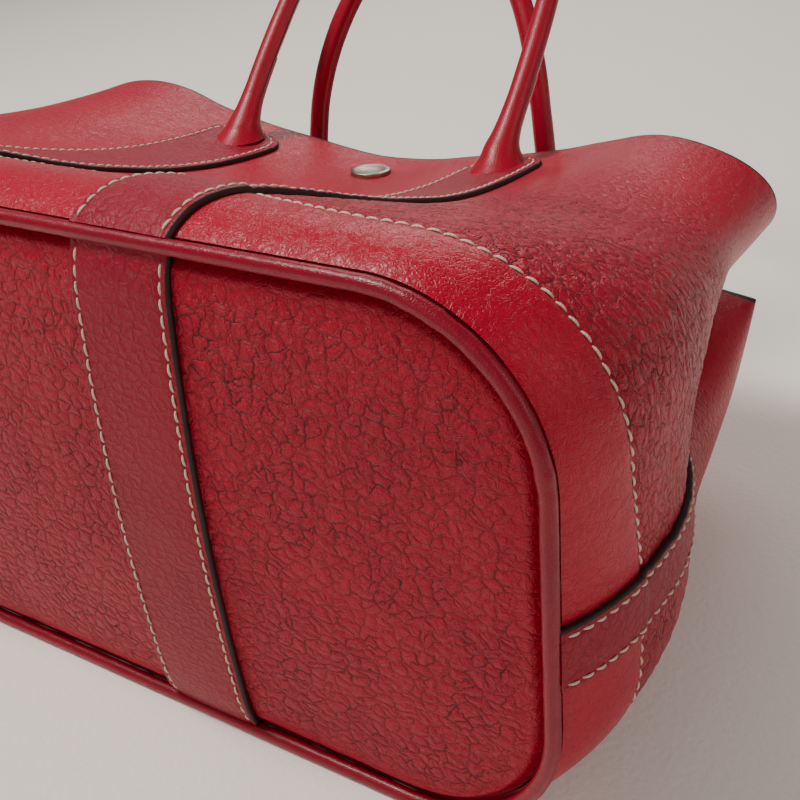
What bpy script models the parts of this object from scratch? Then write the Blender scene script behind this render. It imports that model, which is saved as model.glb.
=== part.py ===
"""Leather tote bag lying on its back panel.

Frame: +Z up, the front panel looks up, the bottom panel looks towards -Y and the mouth opens
towards +Y. X runs along the bag's length. All lengths are in metres.
The body is one lofted surface: a rounded rectangle at the bottom seam that turns into a mouth
whose short sides are folded inwards. A place on it is (s, t): s runs round the body from the
middle of the front (0) over the right side to the middle of the back, and t runs from the bottom
seam (0) to the mouth (1). Every layer of leather, board and lining is that surface at an offset.
"""
import math

import bmesh
import bpy
import numpy as np
from mathutils import Matrix, Vector

# ---------------------------------------------------------------- driving dimensions
HALF_LENGTH = 0.180          # bottom seam, centre to short side
DEPTH = 0.157                # bottom seam, back to front
CORNER = 0.045               # bottom corner radius
FRONT_HEIGHT = 0.222         # bottom seam to the front mouth edge, along Y
BACK_HEIGHT = 0.236          # the same at the back
GUSSET_HEIGHT = 0.226        # the same at the middle of a short side

WING = 0.161                 # mouth: reach of the soft corners from the centre
FOLD = 0.098                 # mouth: how far out the inward fold stays
LEFT_FLARE = 0.022           # mouth: how much further out the left corner and fold stand
FRONT_SAG_Z = 0.1065         # mouth: height of the middle of the front edge
BACK_LIFT_Z = 0.045          # mouth: height of the middle of the back edge
MOUTH_FLAT = 0.135           # mouth edge: spacing of its shape's points, centre to soft corner
MOUTH_CORNER = 0.045         # the same: radius that spaces the points of the soft corner
MOUTH_SIDE = 0.0335          # the same: soft corner to the inward fold
FRONT_BULGE = 0.0065         # rounded lower edge of the front, beyond the seam line
SIDE_BULGE = 0.0105          # the same at the short sides
BOTTOM_DOME = 0.0055         # how far the bottom panel crowns outwards

LEATHER = 0.0020             # body and bottom leather
STRAP_LEATHER = 0.0019       # straps and side strips
LINING = 0.0009
BOARD = 0.0018               # stiff board in the bottom
STIFFENER = 0.0012           # reinforcement behind the lower body
GAP = 0.0003                 # clearance between touching pieces

PIPING_RADIUS = 0.0020
PIPING_SKIN = 0.0006
PIPING_SLIT = 0.0007         # half opening of the skin where it turns into the seam
PIPING_FLANGE = 0.0042       # how far the skin's flap reaches into the seam

STRAP_WIDTH = 0.034
STRAP_X = 0.064              # strap and handle leg, from the centre
STRAP_END_Y = 0.207          # end of a front strap, up the front
STRAP_END_ROUND = 0.013
BACK_STRAP_END_Y = 0.2195
STRIP_WIDTH = 0.019          # strip over a side seam
SEAM_DROP = 0.010            # side seam, below the middle of the short side

HANDLE_RADIUS = 0.0044
HANDLE_SKIN = 0.0012
HANDLE_BASE_BELOW_END = 0.0095   # leg centre, below the strap's end
BASE_DOME = 0.0028           # raised root of a leg on its strap
FRONT_HANDLE_LEAN = math.radians(46)

SNAP_RADIUS = 0.0085
SNAP_BELOW_EDGE = 0.022      # snap centre, below the mouth edge
SNAP_SEAT = 0.0009           # flat discs stand this far off the curved leather
STIFFENER_TOP_Y = 0.034      # the line of stitching round the lower body
FACING_DEPTH = 0.030         # leather facing inside the mouth

# ---------------------------------------------------------------- derived dimensions
FLAT = HALF_LENGTH - CORNER
ARC = CORNER * math.pi / 2
SIDE = DEPTH - 2 * CORNER
HALF_ROUND = 2 * FLAT + 2 * ARC + SIDE       # front centre to back centre along the seam
MIDDLE = HALF_ROUND / 2                      # s of the middle of a short side
SEAM = MIDDLE + SEAM_DROP                    # s of the side seam
BACK_Z = GAP + STRAP_LEATHER                 # the back straps lie on the floor
FRONT_Z = BACK_Z + DEPTH


def shape_knots(flat, arc, middle):
    """Where a half outline's shape points lie along it, front centre to back centre."""
    half = [0, flat / 3, 2 * flat / 3, flat, flat + arc / 2, flat + arc, middle]
    return half + [2 * middle - k for k in reversed(half[:-1])]


KNOTS = shape_knots(FLAT, ARC, MIDDLE)
MOUTH_ARC = MOUTH_CORNER * math.pi / 2
MOUTH_KNOTS = shape_knots(MOUTH_FLAT, MOUTH_ARC, MOUTH_FLAT + MOUTH_ARC + MOUTH_SIDE)
LINING_OFFSET = -(LEATHER + STIFFENER + 3 * GAP)
INNER = LINING_OFFSET - LINING               # offset of the lining's inner face
FACING_OFFSET = -(LEATHER + GAP)             # the facing lies straight on the panel
FACING_INNER = FACING_OFFSET - LINING

COLOURS = {
    "leather": ((0.36, 0.010, 0.020), 0.45, 0.0),
    "strap": ((0.30, 0.012, 0.022), 0.50, 0.0),
    "board": ((0.35, 0.27, 0.18), 0.80, 0.0),
    "cord": ((0.70, 0.66, 0.58), 0.90, 0.0),
    "lining": ((0.42, 0.05, 0.05), 0.75, 0.0),
    "metal": ((0.62, 0.60, 0.57), 0.25, 1.0),
}


# ---------------------------------------------------------------- the body surface
def smoothstep(value):
    u = min(max(value, 0.0), 1.0)
    return u * u * (3 - 2 * u)


def seam_outline(s, inset=0.0):
    """Bottom seam: a rounded rectangle, by distance along it. Returns x, z."""
    side = 1 if s <= MIDDLE else -1
    d = s if s <= MIDDLE else HALF_ROUND - s
    radius = CORNER - inset
    if d <= FLAT:
        x, up = d, DEPTH / 2 - inset
    elif d <= FLAT + ARC:
        angle = (d - FLAT) / CORNER
        x = FLAT + radius * math.sin(angle)
        up = DEPTH / 2 - CORNER + radius * math.cos(angle)
    else:
        x, up = HALF_LENGTH - inset, MIDDLE - d
    return x, BACK_Z + DEPTH / 2 + side * up


def spline_slopes(knots, values, first, last):
    """Slopes at the knots of the smooth cubic through the values."""
    count = len(knots)
    matrix = np.zeros((count, count))
    right = np.zeros((count, 2))
    matrix[0, 0] = matrix[-1, -1] = 1
    right[0], right[-1] = first, last
    for i in range(1, count - 1):
        before, after = knots[i] - knots[i - 1], knots[i + 1] - knots[i]
        matrix[i, i - 1:i + 2] = after, 2 * (before + after), before
        rise_before = (values[i] - values[i - 1]) / before
        rise_after = (values[i + 1] - values[i]) / after
        right[i] = 3 * (after * rise_before + before * rise_after)
    return np.linalg.solve(matrix, right)


def mouth_points():
    """The mouth edge, right half: front centre, soft front corner, inward fold, back corner."""
    rise = FRONT_SAG_Z
    lift = BACK_LIFT_Z
    return np.array([
        (0, rise),
        (MOUTH_FLAT / 3, rise + 0.0045),
        (2 * MOUTH_FLAT / 3, rise + 0.0130),
        (WING - 0.033, rise + 0.0193),
        (WING, rise + 0.0030),
        (WING - 0.016, rise - 0.0225),
        (FOLD, rise - 0.0305),
        (WING - 0.032, rise - 0.0385),
        (WING - 0.004, lift + 0.0165),
        (WING - 0.032, lift + 0.0045),
        (2 * MOUTH_FLAT / 3, lift + 0.0020),
        (MOUTH_FLAT / 3, lift + 0.0005),
        (0, lift),
    ])


MOUTH = mouth_points()
MOUTH_SLOPES = spline_slopes(MOUTH_KNOTS, MOUTH, (1, 0), (-1, 0))


def step_at(s):
    """Which pair of shape points this place lies between, and how far along."""
    i = max(k for k in range(len(KNOTS) - 1) if KNOTS[k] <= s + 1e-9)
    return i, (s - KNOTS[i]) / (KNOTS[i + 1] - KNOTS[i])


def mouth_outline(s):
    i, u = step_at(s)
    width = MOUTH_KNOTS[i + 1] - MOUTH_KNOTS[i]
    start, end = MOUTH[i], MOUTH[i + 1]
    return (start * (1 + 2 * u) * (1 - u) ** 2 + end * u * u * (3 - 2 * u)
            + MOUTH_SLOPES[i] * width * u * (1 - u) ** 2
            + MOUTH_SLOPES[i + 1] * width * u * u * (u - 1))


def shares(s):
    """How much of this place is front, side and back; the three add up to 1."""
    front = 1 - smoothstep((s - FLAT) / ARC)
    back = 1 - smoothstep((HALF_ROUND - FLAT - s) / ARC)
    return front, 1 - front - back, back


def turned(s, t):
    """0 where the section is still the bottom's, 1 where it is the mouth's."""
    front, side, back = shares(s)
    sagging = (1 - math.exp(-(t / 0.49) ** 2.1)) / (1 - math.exp(-(1 / 0.49) ** 2.1))
    lifting = max(0.0, (t - 0.62) / 0.38) ** 2
    return front * sagging + side * smoothstep((t - 0.2) / 0.8) ** 1.1 + back * lifting


def swell(distance, peak):
    return distance / peak * math.exp(1 - distance / peak)


def left_flare(s):
    """The bag lies unevenly: its left front corner opens further than its right one."""
    i, u = step_at(s)
    along = MOUTH_KNOTS[i] + u * (MOUTH_KNOTS[i + 1] - MOUTH_KNOTS[i])
    rising = smoothstep((along - 0.5 * MOUTH_FLAT) / (0.9 * MOUTH_FLAT))
    return LEFT_FLARE * rising * smoothstep((MOUTH_KNOTS[-1] - MOUTH_FLAT - along) / (2 * MOUTH_ARC))


def surface(s, t):
    """A place on the outer face of the body."""
    mirror = -1 if s < 0 else 1
    s = min(abs(s), HALF_ROUND)
    front, side, back = shares(s)
    y = t * (front * FRONT_HEIGHT + side * GUSSET_HEIGHT + back * BACK_HEIGHT)
    x0, z0 = seam_outline(s)
    x1, z1 = mouth_outline(s)
    if mirror < 0:
        x1, z1 = x1 + left_flare(s), z1 + 0.35 * left_flare(s)
    share = turned(s, t)
    out_x, out_z = np.subtract(seam_outline(s), seam_outline(s, CORNER)) / CORNER
    bulge = front * FRONT_BULGE * swell(y, 0.021) + side * SIDE_BULGE * swell(y, 0.045)
    x = x0 + (x1 - x0) * share + out_x * bulge
    z = z0 + (z1 - z0) * share + out_z * bulge
    return Vector((mirror * x, y, z))


def normal(s, t):
    step = 1e-4
    t = min(max(t, step), 1 - step)
    along = surface(s + step, t) - surface(s - step, t)
    up = surface(s, t + step) - surface(s, t - step)
    return along.cross(up).normalized()


def layer(s, t, offset):
    return surface(s, t) + normal(s, t) * offset


def t_at(s, y):
    """The t at which the surface reaches a distance y from the bottom."""
    return y / surface(s, 1.0).y


# ---------------------------------------------------------------- making objects
def new_collection(name):
    collection = bpy.data.collections.new(name)
    bpy.context.scene.collection.children.link(collection)
    return collection


def material(kind, name):
    colour, roughness, metallic = COLOURS[kind]
    made = bpy.data.materials.new(name)
    made.use_nodes = True
    shader = made.node_tree.nodes["Principled BSDF"]
    shader.inputs["Base Color"].default_value = (*colour, 1)
    shader.inputs["Roughness"].default_value = roughness
    shader.inputs["Metallic"].default_value = metallic
    return made


def add_object(name, data, kind):
    made = bpy.data.objects.new(name, data)
    BAG.objects.link(made)
    made.parent = ROOT
    data.materials.append(material(kind, name))
    return made


def grid_body(name, kind, outer, inner):
    """A closed sheet between two equal grids of points; both are split on the same diagonals,
    so that sheets that lie on each other stay parallel."""
    rows, columns = len(outer), len(outer[0])
    points = [p for grid in (outer, inner) for row in grid for p in row]
    shift = rows * columns

    def at(row, column, side):
        return side * shift + row * columns + column

    faces = []
    for r in range(rows - 1):
        for c in range(columns - 1):
            near, far = (r, c), (r + 1, c + 1)
            for corners in ([near, (r, c + 1), far], [near, far, (r + 1, c)]):
                faces.append([at(*place, 0) for place in corners])
                faces.append([at(*place, 1) for place in reversed(corners)])
    rim = [(0, c) for c in range(columns - 1)]
    rim += [(r, columns - 1) for r in range(rows - 1)]
    rim += [(rows - 1, c) for c in range(columns - 1, 0, -1)]
    rim += [(r, 0) for r in range(rows - 1, 0, -1)]
    for here, there in zip(rim, rim[1:] + rim[:1]):
        faces.append([at(*there, 0), at(*here, 0), at(*here, 1), at(*there, 1)])
    mesh = bpy.data.meshes.new(name)
    mesh.from_pydata([tuple(p) for p in points], [], faces)
    mesh.validate()
    mesh.shade_smooth()
    mesh.set_sharp_from_angle(angle=math.radians(35))
    return add_object(name, mesh, kind)


def spread(start, end, count):
    return [start + (end - start) * i / (count - 1) for i in range(count)]


# ---------------------------------------------------------------- body layers
SEAM_START_Y = PIPING_RADIUS + GAP
STRAP_START_Y = SEAM_START_Y + STRAP_LEATHER
BODY_Y = [SEAM_START_Y, 0.008, 0.016, 0.025, 0.036, 0.052, 0.074, 0.100, 0.130, 0.156, 0.176]
STRAP_LEFT = STRAP_X - STRAP_WIDTH / 2
STRAP_RIGHT = STRAP_X + STRAP_WIDTH / 2


FACING_T = 1 - FACING_DEPTH / FRONT_HEIGHT
FACING_ROWS = [FACING_T, (1 + FACING_T) / 2, 1.0]


def body_t(first_y=SEAM_START_Y, last_t=1.0):
    """Rows of the body, as t; the fine ones follow the rounded lower edge."""
    rows = [y / FRONT_HEIGHT for y in BODY_Y]
    rows = [first_y / FRONT_HEIGHT] + [t for t in rows if t > first_y / FRONT_HEIGHT + 0.008]
    return [t for t in rows if t < last_t - 0.02] + [last_t]


def round_columns(fine, reach):
    """Columns from the centre to the side seam, which is at this reach."""
    flat = [0, SNAP_RADIUS + 0.001, STRAP_LEFT, STRAP_X, STRAP_RIGHT, FLAT]
    if not fine:
        flat = [0, SNAP_RADIUS + 0.001, STRAP_X, FLAT]
    strip_edge = reach - STRIP_WIDTH
    corner = [s for s in spread(FLAT, FLAT + ARC, 7)[1:] if s < strip_edge - GAP]
    return flat + corner + [strip_edge, reach - STRIP_WIDTH / 2, reach - GAP]


def half_sheet(name, kind, back, rows, outer, inner, fine=True):
    """A front or back layer, from one side seam over the middle to the other."""
    right = round_columns(fine, HALF_ROUND - SEAM if back else SEAM)
    columns = [-s for s in reversed(right)] + right[1:]
    if back:
        columns = [HALF_ROUND - s for s in reversed(right)] + [s - HALF_ROUND for s in right[1:]]
    sheet = [[[layer(s, t, offset) for s in columns] for t in rows] for offset in (outer, inner)]
    return grid_body(name, kind, *sheet)


def make_body():
    rows = body_t(last_t=FACING_T)[:-1] + FACING_ROWS
    lining_rows = body_t(BOARD + LEATHER + 0.004, FACING_T - GAP / FRONT_HEIGHT)
    band_rows = [t for t in rows if t * FRONT_HEIGHT < STIFFENER_TOP_Y]
    band_rows = [(SEAM_START_Y + PIPING_FLANGE) / FRONT_HEIGHT] + band_rows[1:]
    band_rows += [STIFFENER_TOP_Y / FRONT_HEIGHT]
    for side, back in (("front", False), ("back", True)):
        half_sheet(side + "_panel", "leather", back, rows, 0.0, -LEATHER)
        half_sheet(side + "_base_stiffener", "board", back, band_rows,
                   -LEATHER - GAP, -LEATHER - GAP - STIFFENER)
        half_sheet(side + "_lining", "lining", back, lining_rows, LINING_OFFSET, INNER, False)
        half_sheet(side + "_facing", "leather", back, FACING_ROWS, FACING_OFFSET, FACING_INNER)


# ---------------------------------------------------------------- bottom
def dome(x, z):
    """How far the bottom crowns outwards here."""
    across = (x / HALF_LENGTH) ** 2
    up = ((z - BACK_Z - DEPTH / 2) / (DEPTH / 2)) ** 2
    return BOTTOM_DOME * max(0.0, 1 - across) * max(0.0, 1 - up)


def around():
    """Places along the whole bottom seam, by s; negative on the left half."""
    half = [0, FLAT / 2] + spread(FLAT, FLAT + ARC, 7) + [MIDDLE]
    half += [HALF_ROUND - s for s in reversed(half[:-1])]
    return half + [-s for s in reversed(half[1:-1])]


def plate(name, kind, inset, outer_y, thickness, rings=3):
    """A crowned plate inside the bottom seam; outer_y is its outer face at the rim."""
    rim = []
    for s in around():
        x, z = seam_outline(abs(s), inset)
        rim.append((math.copysign(x, s), z))
    middle = BACK_Z + DEPTH / 2
    made = bmesh.new()
    faces = []
    for face_y in (outer_y, outer_y + thickness):
        loops = []
        for ring in range(rings, 0, -1):
            share = ring / rings
            loop = []
            for x, z in rim:
                px, pz = x * share, middle + (z - middle) * share
                loop.append(made.verts.new((px, face_y - dome(px, pz), pz)))
            loops.append(loop)
        centre = made.verts.new((0, face_y - dome(0, middle), middle))
        faces.append((loops, centre))
    for (loops, centre), flip in zip(faces, (False, True)):
        strips = list(zip(loops, loops[1:]))
        for wide, narrow in strips:
            for i in range(len(rim)):
                j = (i + 1) % len(rim)
                quad = [wide[i], narrow[i], narrow[j], wide[j]]
                made.faces.new(quad[::-1] if flip else quad)
        last = loops[-1]
        for i in range(len(rim)):
            corner = [last[i], centre, last[(i + 1) % len(rim)]]
            made.faces.new(corner[::-1] if flip else corner)
    near, far = faces[0][0][0], faces[1][0][0]
    for i in range(len(rim)):
        j = (i + 1) % len(rim)
        made.faces.new([near[i], near[j], far[j], far[i]])
    bmesh.ops.recalc_face_normals(made, faces=made.faces)
    mesh = bpy.data.meshes.new(name)
    made.to_mesh(mesh)
    made.free()
    mesh.shade_smooth()
    mesh.set_sharp_from_angle(angle=math.radians(35))
    return add_object(name, mesh, kind)


def make_bottom():
    inset = PIPING_RADIUS + GAP
    plate("bottom_panel", "leather", inset, 0.0, LEATHER)
    board_inset = LEATHER + STIFFENER + LINING + 0.0045
    board_y = LEATHER + GAP
    plate("bottom_board", "board", board_inset, board_y, BOARD)
    plate("bottom_lining", "lining", board_inset, board_y + BOARD + GAP, LINING)


def outline_curve(name):
    """The bottom seam as a closed flat curve, lying in its own XY plane."""
    curve = bpy.data.curves.new(name, "CURVE")
    curve.dimensions = "2D"
    curve.fill_mode = "NONE"
    places = around()
    line = curve.splines.new("POLY")
    line.points.add(len(places) - 1)
    for point, s in zip(line.points, places):
        x, z = seam_outline(abs(s))
        point.co = (math.copysign(x, s), z, 0, 1)
    line.use_cyclic_u = True
    return curve


def piping_section():
    """Section of the piping skin: a tube that opens into a flap pointing into the seam."""
    outer, inner = PIPING_RADIUS, PIPING_RADIUS - PIPING_SKIN
    opening = math.asin(PIPING_SLIT / outer)
    turn = math.radians(225)                     # the flap points inwards, away from the floor side
    outer_angles = spread(opening, 2 * math.pi - opening, 8)
    inner_opening = math.asin(PIPING_SLIT / inner)
    inner_angles = spread(2 * math.pi - inner_opening, inner_opening, 6)
    points = [(outer * math.cos(a), outer * math.sin(a)) for a in outer_angles]
    points += [(PIPING_FLANGE, -PIPING_SLIT), (PIPING_FLANGE, -PIPING_SLIT + PIPING_SKIN)]
    points += [(inner * math.cos(a), inner * math.sin(a)) for a in inner_angles]
    return [(x * math.cos(turn) - y * math.sin(turn), x * math.sin(turn) + y * math.cos(turn))
            for x, y in points]


def make_piping():
    profile = bpy.data.curves.new("piping_profile", "CURVE")
    profile.dimensions = "2D"
    points = piping_section()[::-1]
    line = profile.splines.new("POLY")
    line.points.add(len(points) - 1)
    for point, (x, y) in zip(line.points, points):
        point.co = (x, y, 0, 1)
    line.use_cyclic_u = True
    guide = bpy.data.objects.new("piping_profile", profile)
    GUIDES.objects.link(guide)
    guide.hide_render = True
    guide.display_type = "WIRE"
    skin = outline_curve("piping_cover")
    skin.bevel_mode = "OBJECT"
    skin.bevel_object = guide
    cord = outline_curve("piping_cord")
    cord.bevel_depth = PIPING_RADIUS - PIPING_SKIN - GAP
    cord.bevel_resolution = 2
    for name, curve, kind in (("piping_cover", skin, "leather"), ("piping_cord", cord, "cord")):
        made = add_object(name, curve, kind)
        made.rotation_euler = (math.radians(90), 0, 0)


# ---------------------------------------------------------------- straps and strips
def end_round(across):
    """How far a strap's rounded end falls back towards its edges; across runs from -1 to 1."""
    return STRAP_END_ROUND * (1 - math.sqrt(max(0.0, 1 - abs(across) ** 2.6)))


def strap(name, centre, end_y):
    """A strap from the bottom seam up the body, with a raised root for the handle's leg."""
    columns = [-1, -0.62, -0.26, 0, 0.26, 0.62, 1]
    last_round = surface(centre, 1.0).y
    rows = [y for y in BODY_Y if y / FRONT_HEIGHT * last_round < end_y - 0.040]
    rows = [y / FRONT_HEIGHT for y in [STRAP_START_Y] + rows[1:]]
    near_end = [0.031, 0.0195, 0.0145, HANDLE_BASE_BELOW_END, 0.0045, 0.0]
    outer, inner = [], []
    for row in range(len(rows) + len(near_end)):
        line_out, line_in = [], []
        for across in columns:
            s = centre + across * STRAP_WIDTH / 2
            if row < len(rows):
                t = rows[row]
            else:
                back = near_end[row - len(rows)]
                fade = 1 - back / 0.045
                t = t_at(centre, end_y - back - end_round(across) * fade)
            reach = math.hypot(across * STRAP_WIDTH / 2,
                               t * last_round - end_y + HANDLE_BASE_BELOW_END)
            raised = BASE_DOME * smoothstep(1.35 - reach / (2.0 * HANDLE_RADIUS))
            line_out.append(layer(s, t, GAP + STRAP_LEATHER + raised))
            line_in.append(layer(s, t, GAP))
        outer.append(line_out)
        inner.append(line_in)
    return grid_body(name, "strap", outer, inner)


def bottom_strap(name, centre):
    """A strap over the bottom panel, from piping to piping."""
    inset = 2 * PIPING_RADIUS + GAP
    low, high = BACK_Z + inset, BACK_Z + DEPTH - inset
    grids = []
    for lift in (GAP + STRAP_LEATHER, GAP):
        grid = []
        for z in spread(high, low, 9):
            line = []
            for x in spread(centre + STRAP_WIDTH / 2, centre - STRAP_WIDTH / 2, 4):
                line.append((x, -dome(x, z) - lift - GAP, z))
            grid.append(line)
        grids.append(grid)
    return grid_body(name, "strap", *grids)


def side_strip(name, mirror):
    columns = [SEAM - STRIP_WIDTH / 2, SEAM - GAP, SEAM + GAP, SEAM + STRIP_WIDTH / 2]
    if mirror < 0:
        columns = [-s for s in reversed(columns)]
    rows = body_t(STRAP_START_Y, FACING_T)[:-1] + FACING_ROWS
    grids = [[[layer(s, t, offset) for s in columns] for t in rows]
             for offset in (GAP + STRAP_LEATHER, GAP)]
    return grid_body(name, "strap", *grids)


def make_straps():
    for side, mirror in (("left", -1), ("right", 1)):
        bottom_strap("bottom_strap_" + side, mirror * STRAP_X)
        strap("front_strap_" + side, mirror * STRAP_X, STRAP_END_Y)
        strap("back_strap_" + side, mirror * (HALF_ROUND - STRAP_X), BACK_STRAP_END_Y)
        side_strip("side_strip_" + side, mirror)


# ---------------------------------------------------------------- handles
def handle_pivot(s, end_y):
    """The middle of a leg's flexing root, on its strap."""
    t = t_at(s, end_y - HANDLE_BASE_BELOW_END)
    height = GAP + STRAP_LEATHER + BASE_DOME + GAP + HANDLE_RADIUS
    return layer(s, t, height)


def leg_route(points, count):
    """A smooth arch through the right leg's points and their mirror images, evenly spaced."""
    knots = points + [(-x, y, z) for x, y, z in reversed(points[:-1])]
    knots = np.array(knots)
    steps = np.concatenate([[0], np.cumsum(np.linalg.norm(np.diff(knots, axis=0), axis=1))])
    ends = [(knots[1] - knots[0]) / steps[1], (knots[-1] - knots[-2]) / (steps[-1] - steps[-2])]
    slopes = np.column_stack([
        spline_slopes(steps, knots[:, :2], ends[0][:2], ends[1][:2]),
        spline_slopes(steps, knots[:, 1:], ends[0][1:], ends[1][1:])[:, 1],
    ])
    fine = []
    for i in range(len(steps) - 1):
        width = steps[i + 1] - steps[i]
        for u in np.linspace(0, 1, 24, endpoint=False):
            fine.append(knots[i] * (1 + 2 * u) * (1 - u) ** 2 + knots[i + 1] * u * u * (3 - 2 * u)
                        + slopes[i] * width * u * (1 - u) ** 2
                        + slopes[i + 1] * width * u * u * (u - 1))
    fine = np.array(fine + [knots[-1]])
    far = np.concatenate([[0], np.cumsum(np.linalg.norm(np.diff(fine, axis=0), axis=1))])
    even = np.linspace(0, far[-1], count)
    return np.column_stack([np.interp(even, far, fine[:, axis]) for axis in range(3)])


def front_leg_points():
    """Right leg of the front handle from its root: x, and distance in the handle's plane."""
    lean = FRONT_HANDLE_LEAN
    flat = [(STRAP_X, 0), (0.0645, 0.022), (0.0630, 0.065), (0.0575, 0.110), (0.0450, 0.152),
            (0.0245, 0.183), (0, 0.1935)]
    return [(x, d * math.cos(lean), d * math.sin(lean)) for x, d in flat]


def back_leg_points():
    """Right leg of the back handle from its root; it comes out from under the back edge."""
    return [(STRAP_X, 0, 0), (0.0640, 0.0140, 0.0082), (0.0637, 0.0252, 0.0215),
            (0.0630, 0.0290, 0.0450), (0.0597, 0.0292, 0.0900), (0.0535, 0.0345, 0.1220),
            (0.0425, 0.0435, 0.1490), (0.0230, 0.0520, 0.1720), (0, 0.0550, 0.1805)]


def tube(name, kind, points, radius, hollow, hinge):
    curve = bpy.data.curves.new(name, "CURVE")
    curve.dimensions = "3D"
    curve.bevel_depth = radius
    curve.bevel_resolution = 2
    curve.use_fill_caps = not hollow
    curve.twist_mode = "MINIMUM"
    line = curve.splines.new("POLY")
    line.points.add(len(points) - 1)
    for point, place in zip(line.points, points):
        point.co = (*place, 1)
    made = add_object(name, curve, kind)
    made.parent = hinge
    if hollow:
        wall = made.modifiers.new("wall", "SOLIDIFY")
        wall.thickness = HANDLE_SKIN
        wall.offset = -1
        wall.use_even_offset = True
    return made


def make_handle(side, s, end_y, leg):
    hinge = bpy.data.objects.new(side + "_handle_hinge", None)
    BAG.objects.link(hinge)
    hinge.parent = ROOT
    pivot = handle_pivot(s, end_y)
    hinge.location = (0, pivot.y, pivot.z)
    route = leg_route(leg, 27)
    tube(side + "_handle_cover", "leather", route, HANDLE_RADIUS, True, hinge)
    core = HANDLE_RADIUS - HANDLE_SKIN - GAP
    tube(side + "_handle_core", "cord", route[1:-1], core, False, hinge)


def make_handles():
    make_handle("front", STRAP_X, STRAP_END_Y, front_leg_points())
    make_handle("back", HALF_ROUND - STRAP_X, BACK_STRAP_END_Y, back_leg_points())


# ---------------------------------------------------------------- centre snap
def turned_piece(name, profile, s, t, offset, outwards):
    """A round piece from its half profile, standing on the body at (s, t)."""
    mesh = bpy.data.meshes.new(name)
    mesh.from_pydata([(r, 0, h) for r, h in profile], [(i, i + 1) for i in range(len(profile) - 1)], [])
    made = add_object(name, mesh, "metal")
    screw = made.modifiers.new("turn", "SCREW")
    screw.steps = screw.render_steps = 24
    screw.use_merge_vertices = True
    screw.merge_threshold = 0.00005
    out = normal(s, t) * (1 if outwards else -1)
    side = Vector((1, 0, 0))
    up = out.cross(side).normalized()
    turn = Matrix((up.cross(out), up, out)).transposed()
    made.matrix_local = Matrix.Translation(layer(s, t, offset)) @ turn.to_4x4()
    return made


def make_snap():
    cap = [(0, 0.0011), (0.45 * SNAP_RADIUS, 0.0012), (0.72 * SNAP_RADIUS, 0.0019),
           (0.90 * SNAP_RADIUS, 0.0020), (SNAP_RADIUS, 0.0012), (SNAP_RADIUS, 0), (0, 0)]
    socket = [(0, 0.0008), (0.32 * SNAP_RADIUS, 0.0008), (0.40 * SNAP_RADIUS, 0.0028),
              (0.58 * SNAP_RADIUS, 0.0028), (0.70 * SNAP_RADIUS, 0.0006),
              (0.85 * SNAP_RADIUS, 0.0004), (0.85 * SNAP_RADIUS, 0), (0, 0)]
    stud = [(0, 0.0038), (0.20 * SNAP_RADIUS, 0.0036), (0.27 * SNAP_RADIUS, 0.0030),
            (0.22 * SNAP_RADIUS, 0.0016), (0.24 * SNAP_RADIUS, 0.0006),
            (0.85 * SNAP_RADIUS, 0.0004), (0.85 * SNAP_RADIUS, 0), (0, 0)]
    for side, s, inside in (("front", 0.0, socket), ("back", HALF_ROUND, stud)):
        t = t_at(s, surface(s, 1.0).y - SNAP_BELOW_EDGE)
        turned_piece(side + "_snap_cap", cap, s, t, SNAP_SEAT, True)
        name = "front_snap_socket" if side == "front" else "back_snap_stud"
        turned_piece(name, inside, s, t, FACING_INNER - SNAP_SEAT, False)


# ---------------------------------------------------------------- the whole bag
def centre_on_origin():
    """Moves the root so that the origin is under the middle of the bag's box."""
    bpy.context.view_layer.update()
    depsgraph = bpy.context.evaluated_depsgraph_get()
    low, high = math.inf, -math.inf
    for made in BAG.objects:
        if made.type == "EMPTY":
            continue
        solid = made.evaluated_get(depsgraph).to_mesh()
        for vertex in solid.vertices:
            y = (made.matrix_world @ vertex.co).y
            low, high = min(low, y), max(high, y)
    ROOT.location.y = -(low + high) / 2


for old in list(bpy.data.objects):
    bpy.data.objects.remove(old, do_unlink=True)
BAG = new_collection("tote_bag")
GUIDES = new_collection("guides")
ROOT = bpy.data.objects.new("bag_origin", None)
BAG.objects.link(ROOT)
make_body()
make_bottom()
make_piping()
make_straps()
make_handles()
make_snap()
centre_on_origin()
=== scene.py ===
"""Visual model of a red pebbled leather tote bag, lying on its back panel.

Frame: +Z up, the front panel looks up, the bottom panel towards -Y, the mouth towards +Y.
A place on the body is (s, t): s runs round the body in metres from the middle of the front, over
the right side to the middle of the back, and t runs from the bottom seam (0) to the mouth (1).
"""
import math

import bpy
import numpy as np
from bpy.props import FloatProperty, FloatVectorProperty, PointerProperty
from mathutils import Matrix, Vector


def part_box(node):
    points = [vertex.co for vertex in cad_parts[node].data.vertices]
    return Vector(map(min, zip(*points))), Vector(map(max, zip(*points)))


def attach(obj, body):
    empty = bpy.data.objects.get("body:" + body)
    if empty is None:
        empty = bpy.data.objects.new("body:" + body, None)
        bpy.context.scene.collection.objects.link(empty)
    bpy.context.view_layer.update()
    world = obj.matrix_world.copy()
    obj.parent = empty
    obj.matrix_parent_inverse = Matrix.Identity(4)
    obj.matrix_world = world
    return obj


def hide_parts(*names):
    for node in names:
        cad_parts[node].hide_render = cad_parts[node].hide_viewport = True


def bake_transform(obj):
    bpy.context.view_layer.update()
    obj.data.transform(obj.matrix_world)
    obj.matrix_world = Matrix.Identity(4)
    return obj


bl_info = {
    "name": "Leather tote bag",
    "version": (1, 0, 0),
    "blender": (4, 5, 0),
    "location": "View3D > Sidebar > Tote",
    "description": "Makes the visible pieces of a leather tote bag round its CAD frame",
    "category": "Object",
}

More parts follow.
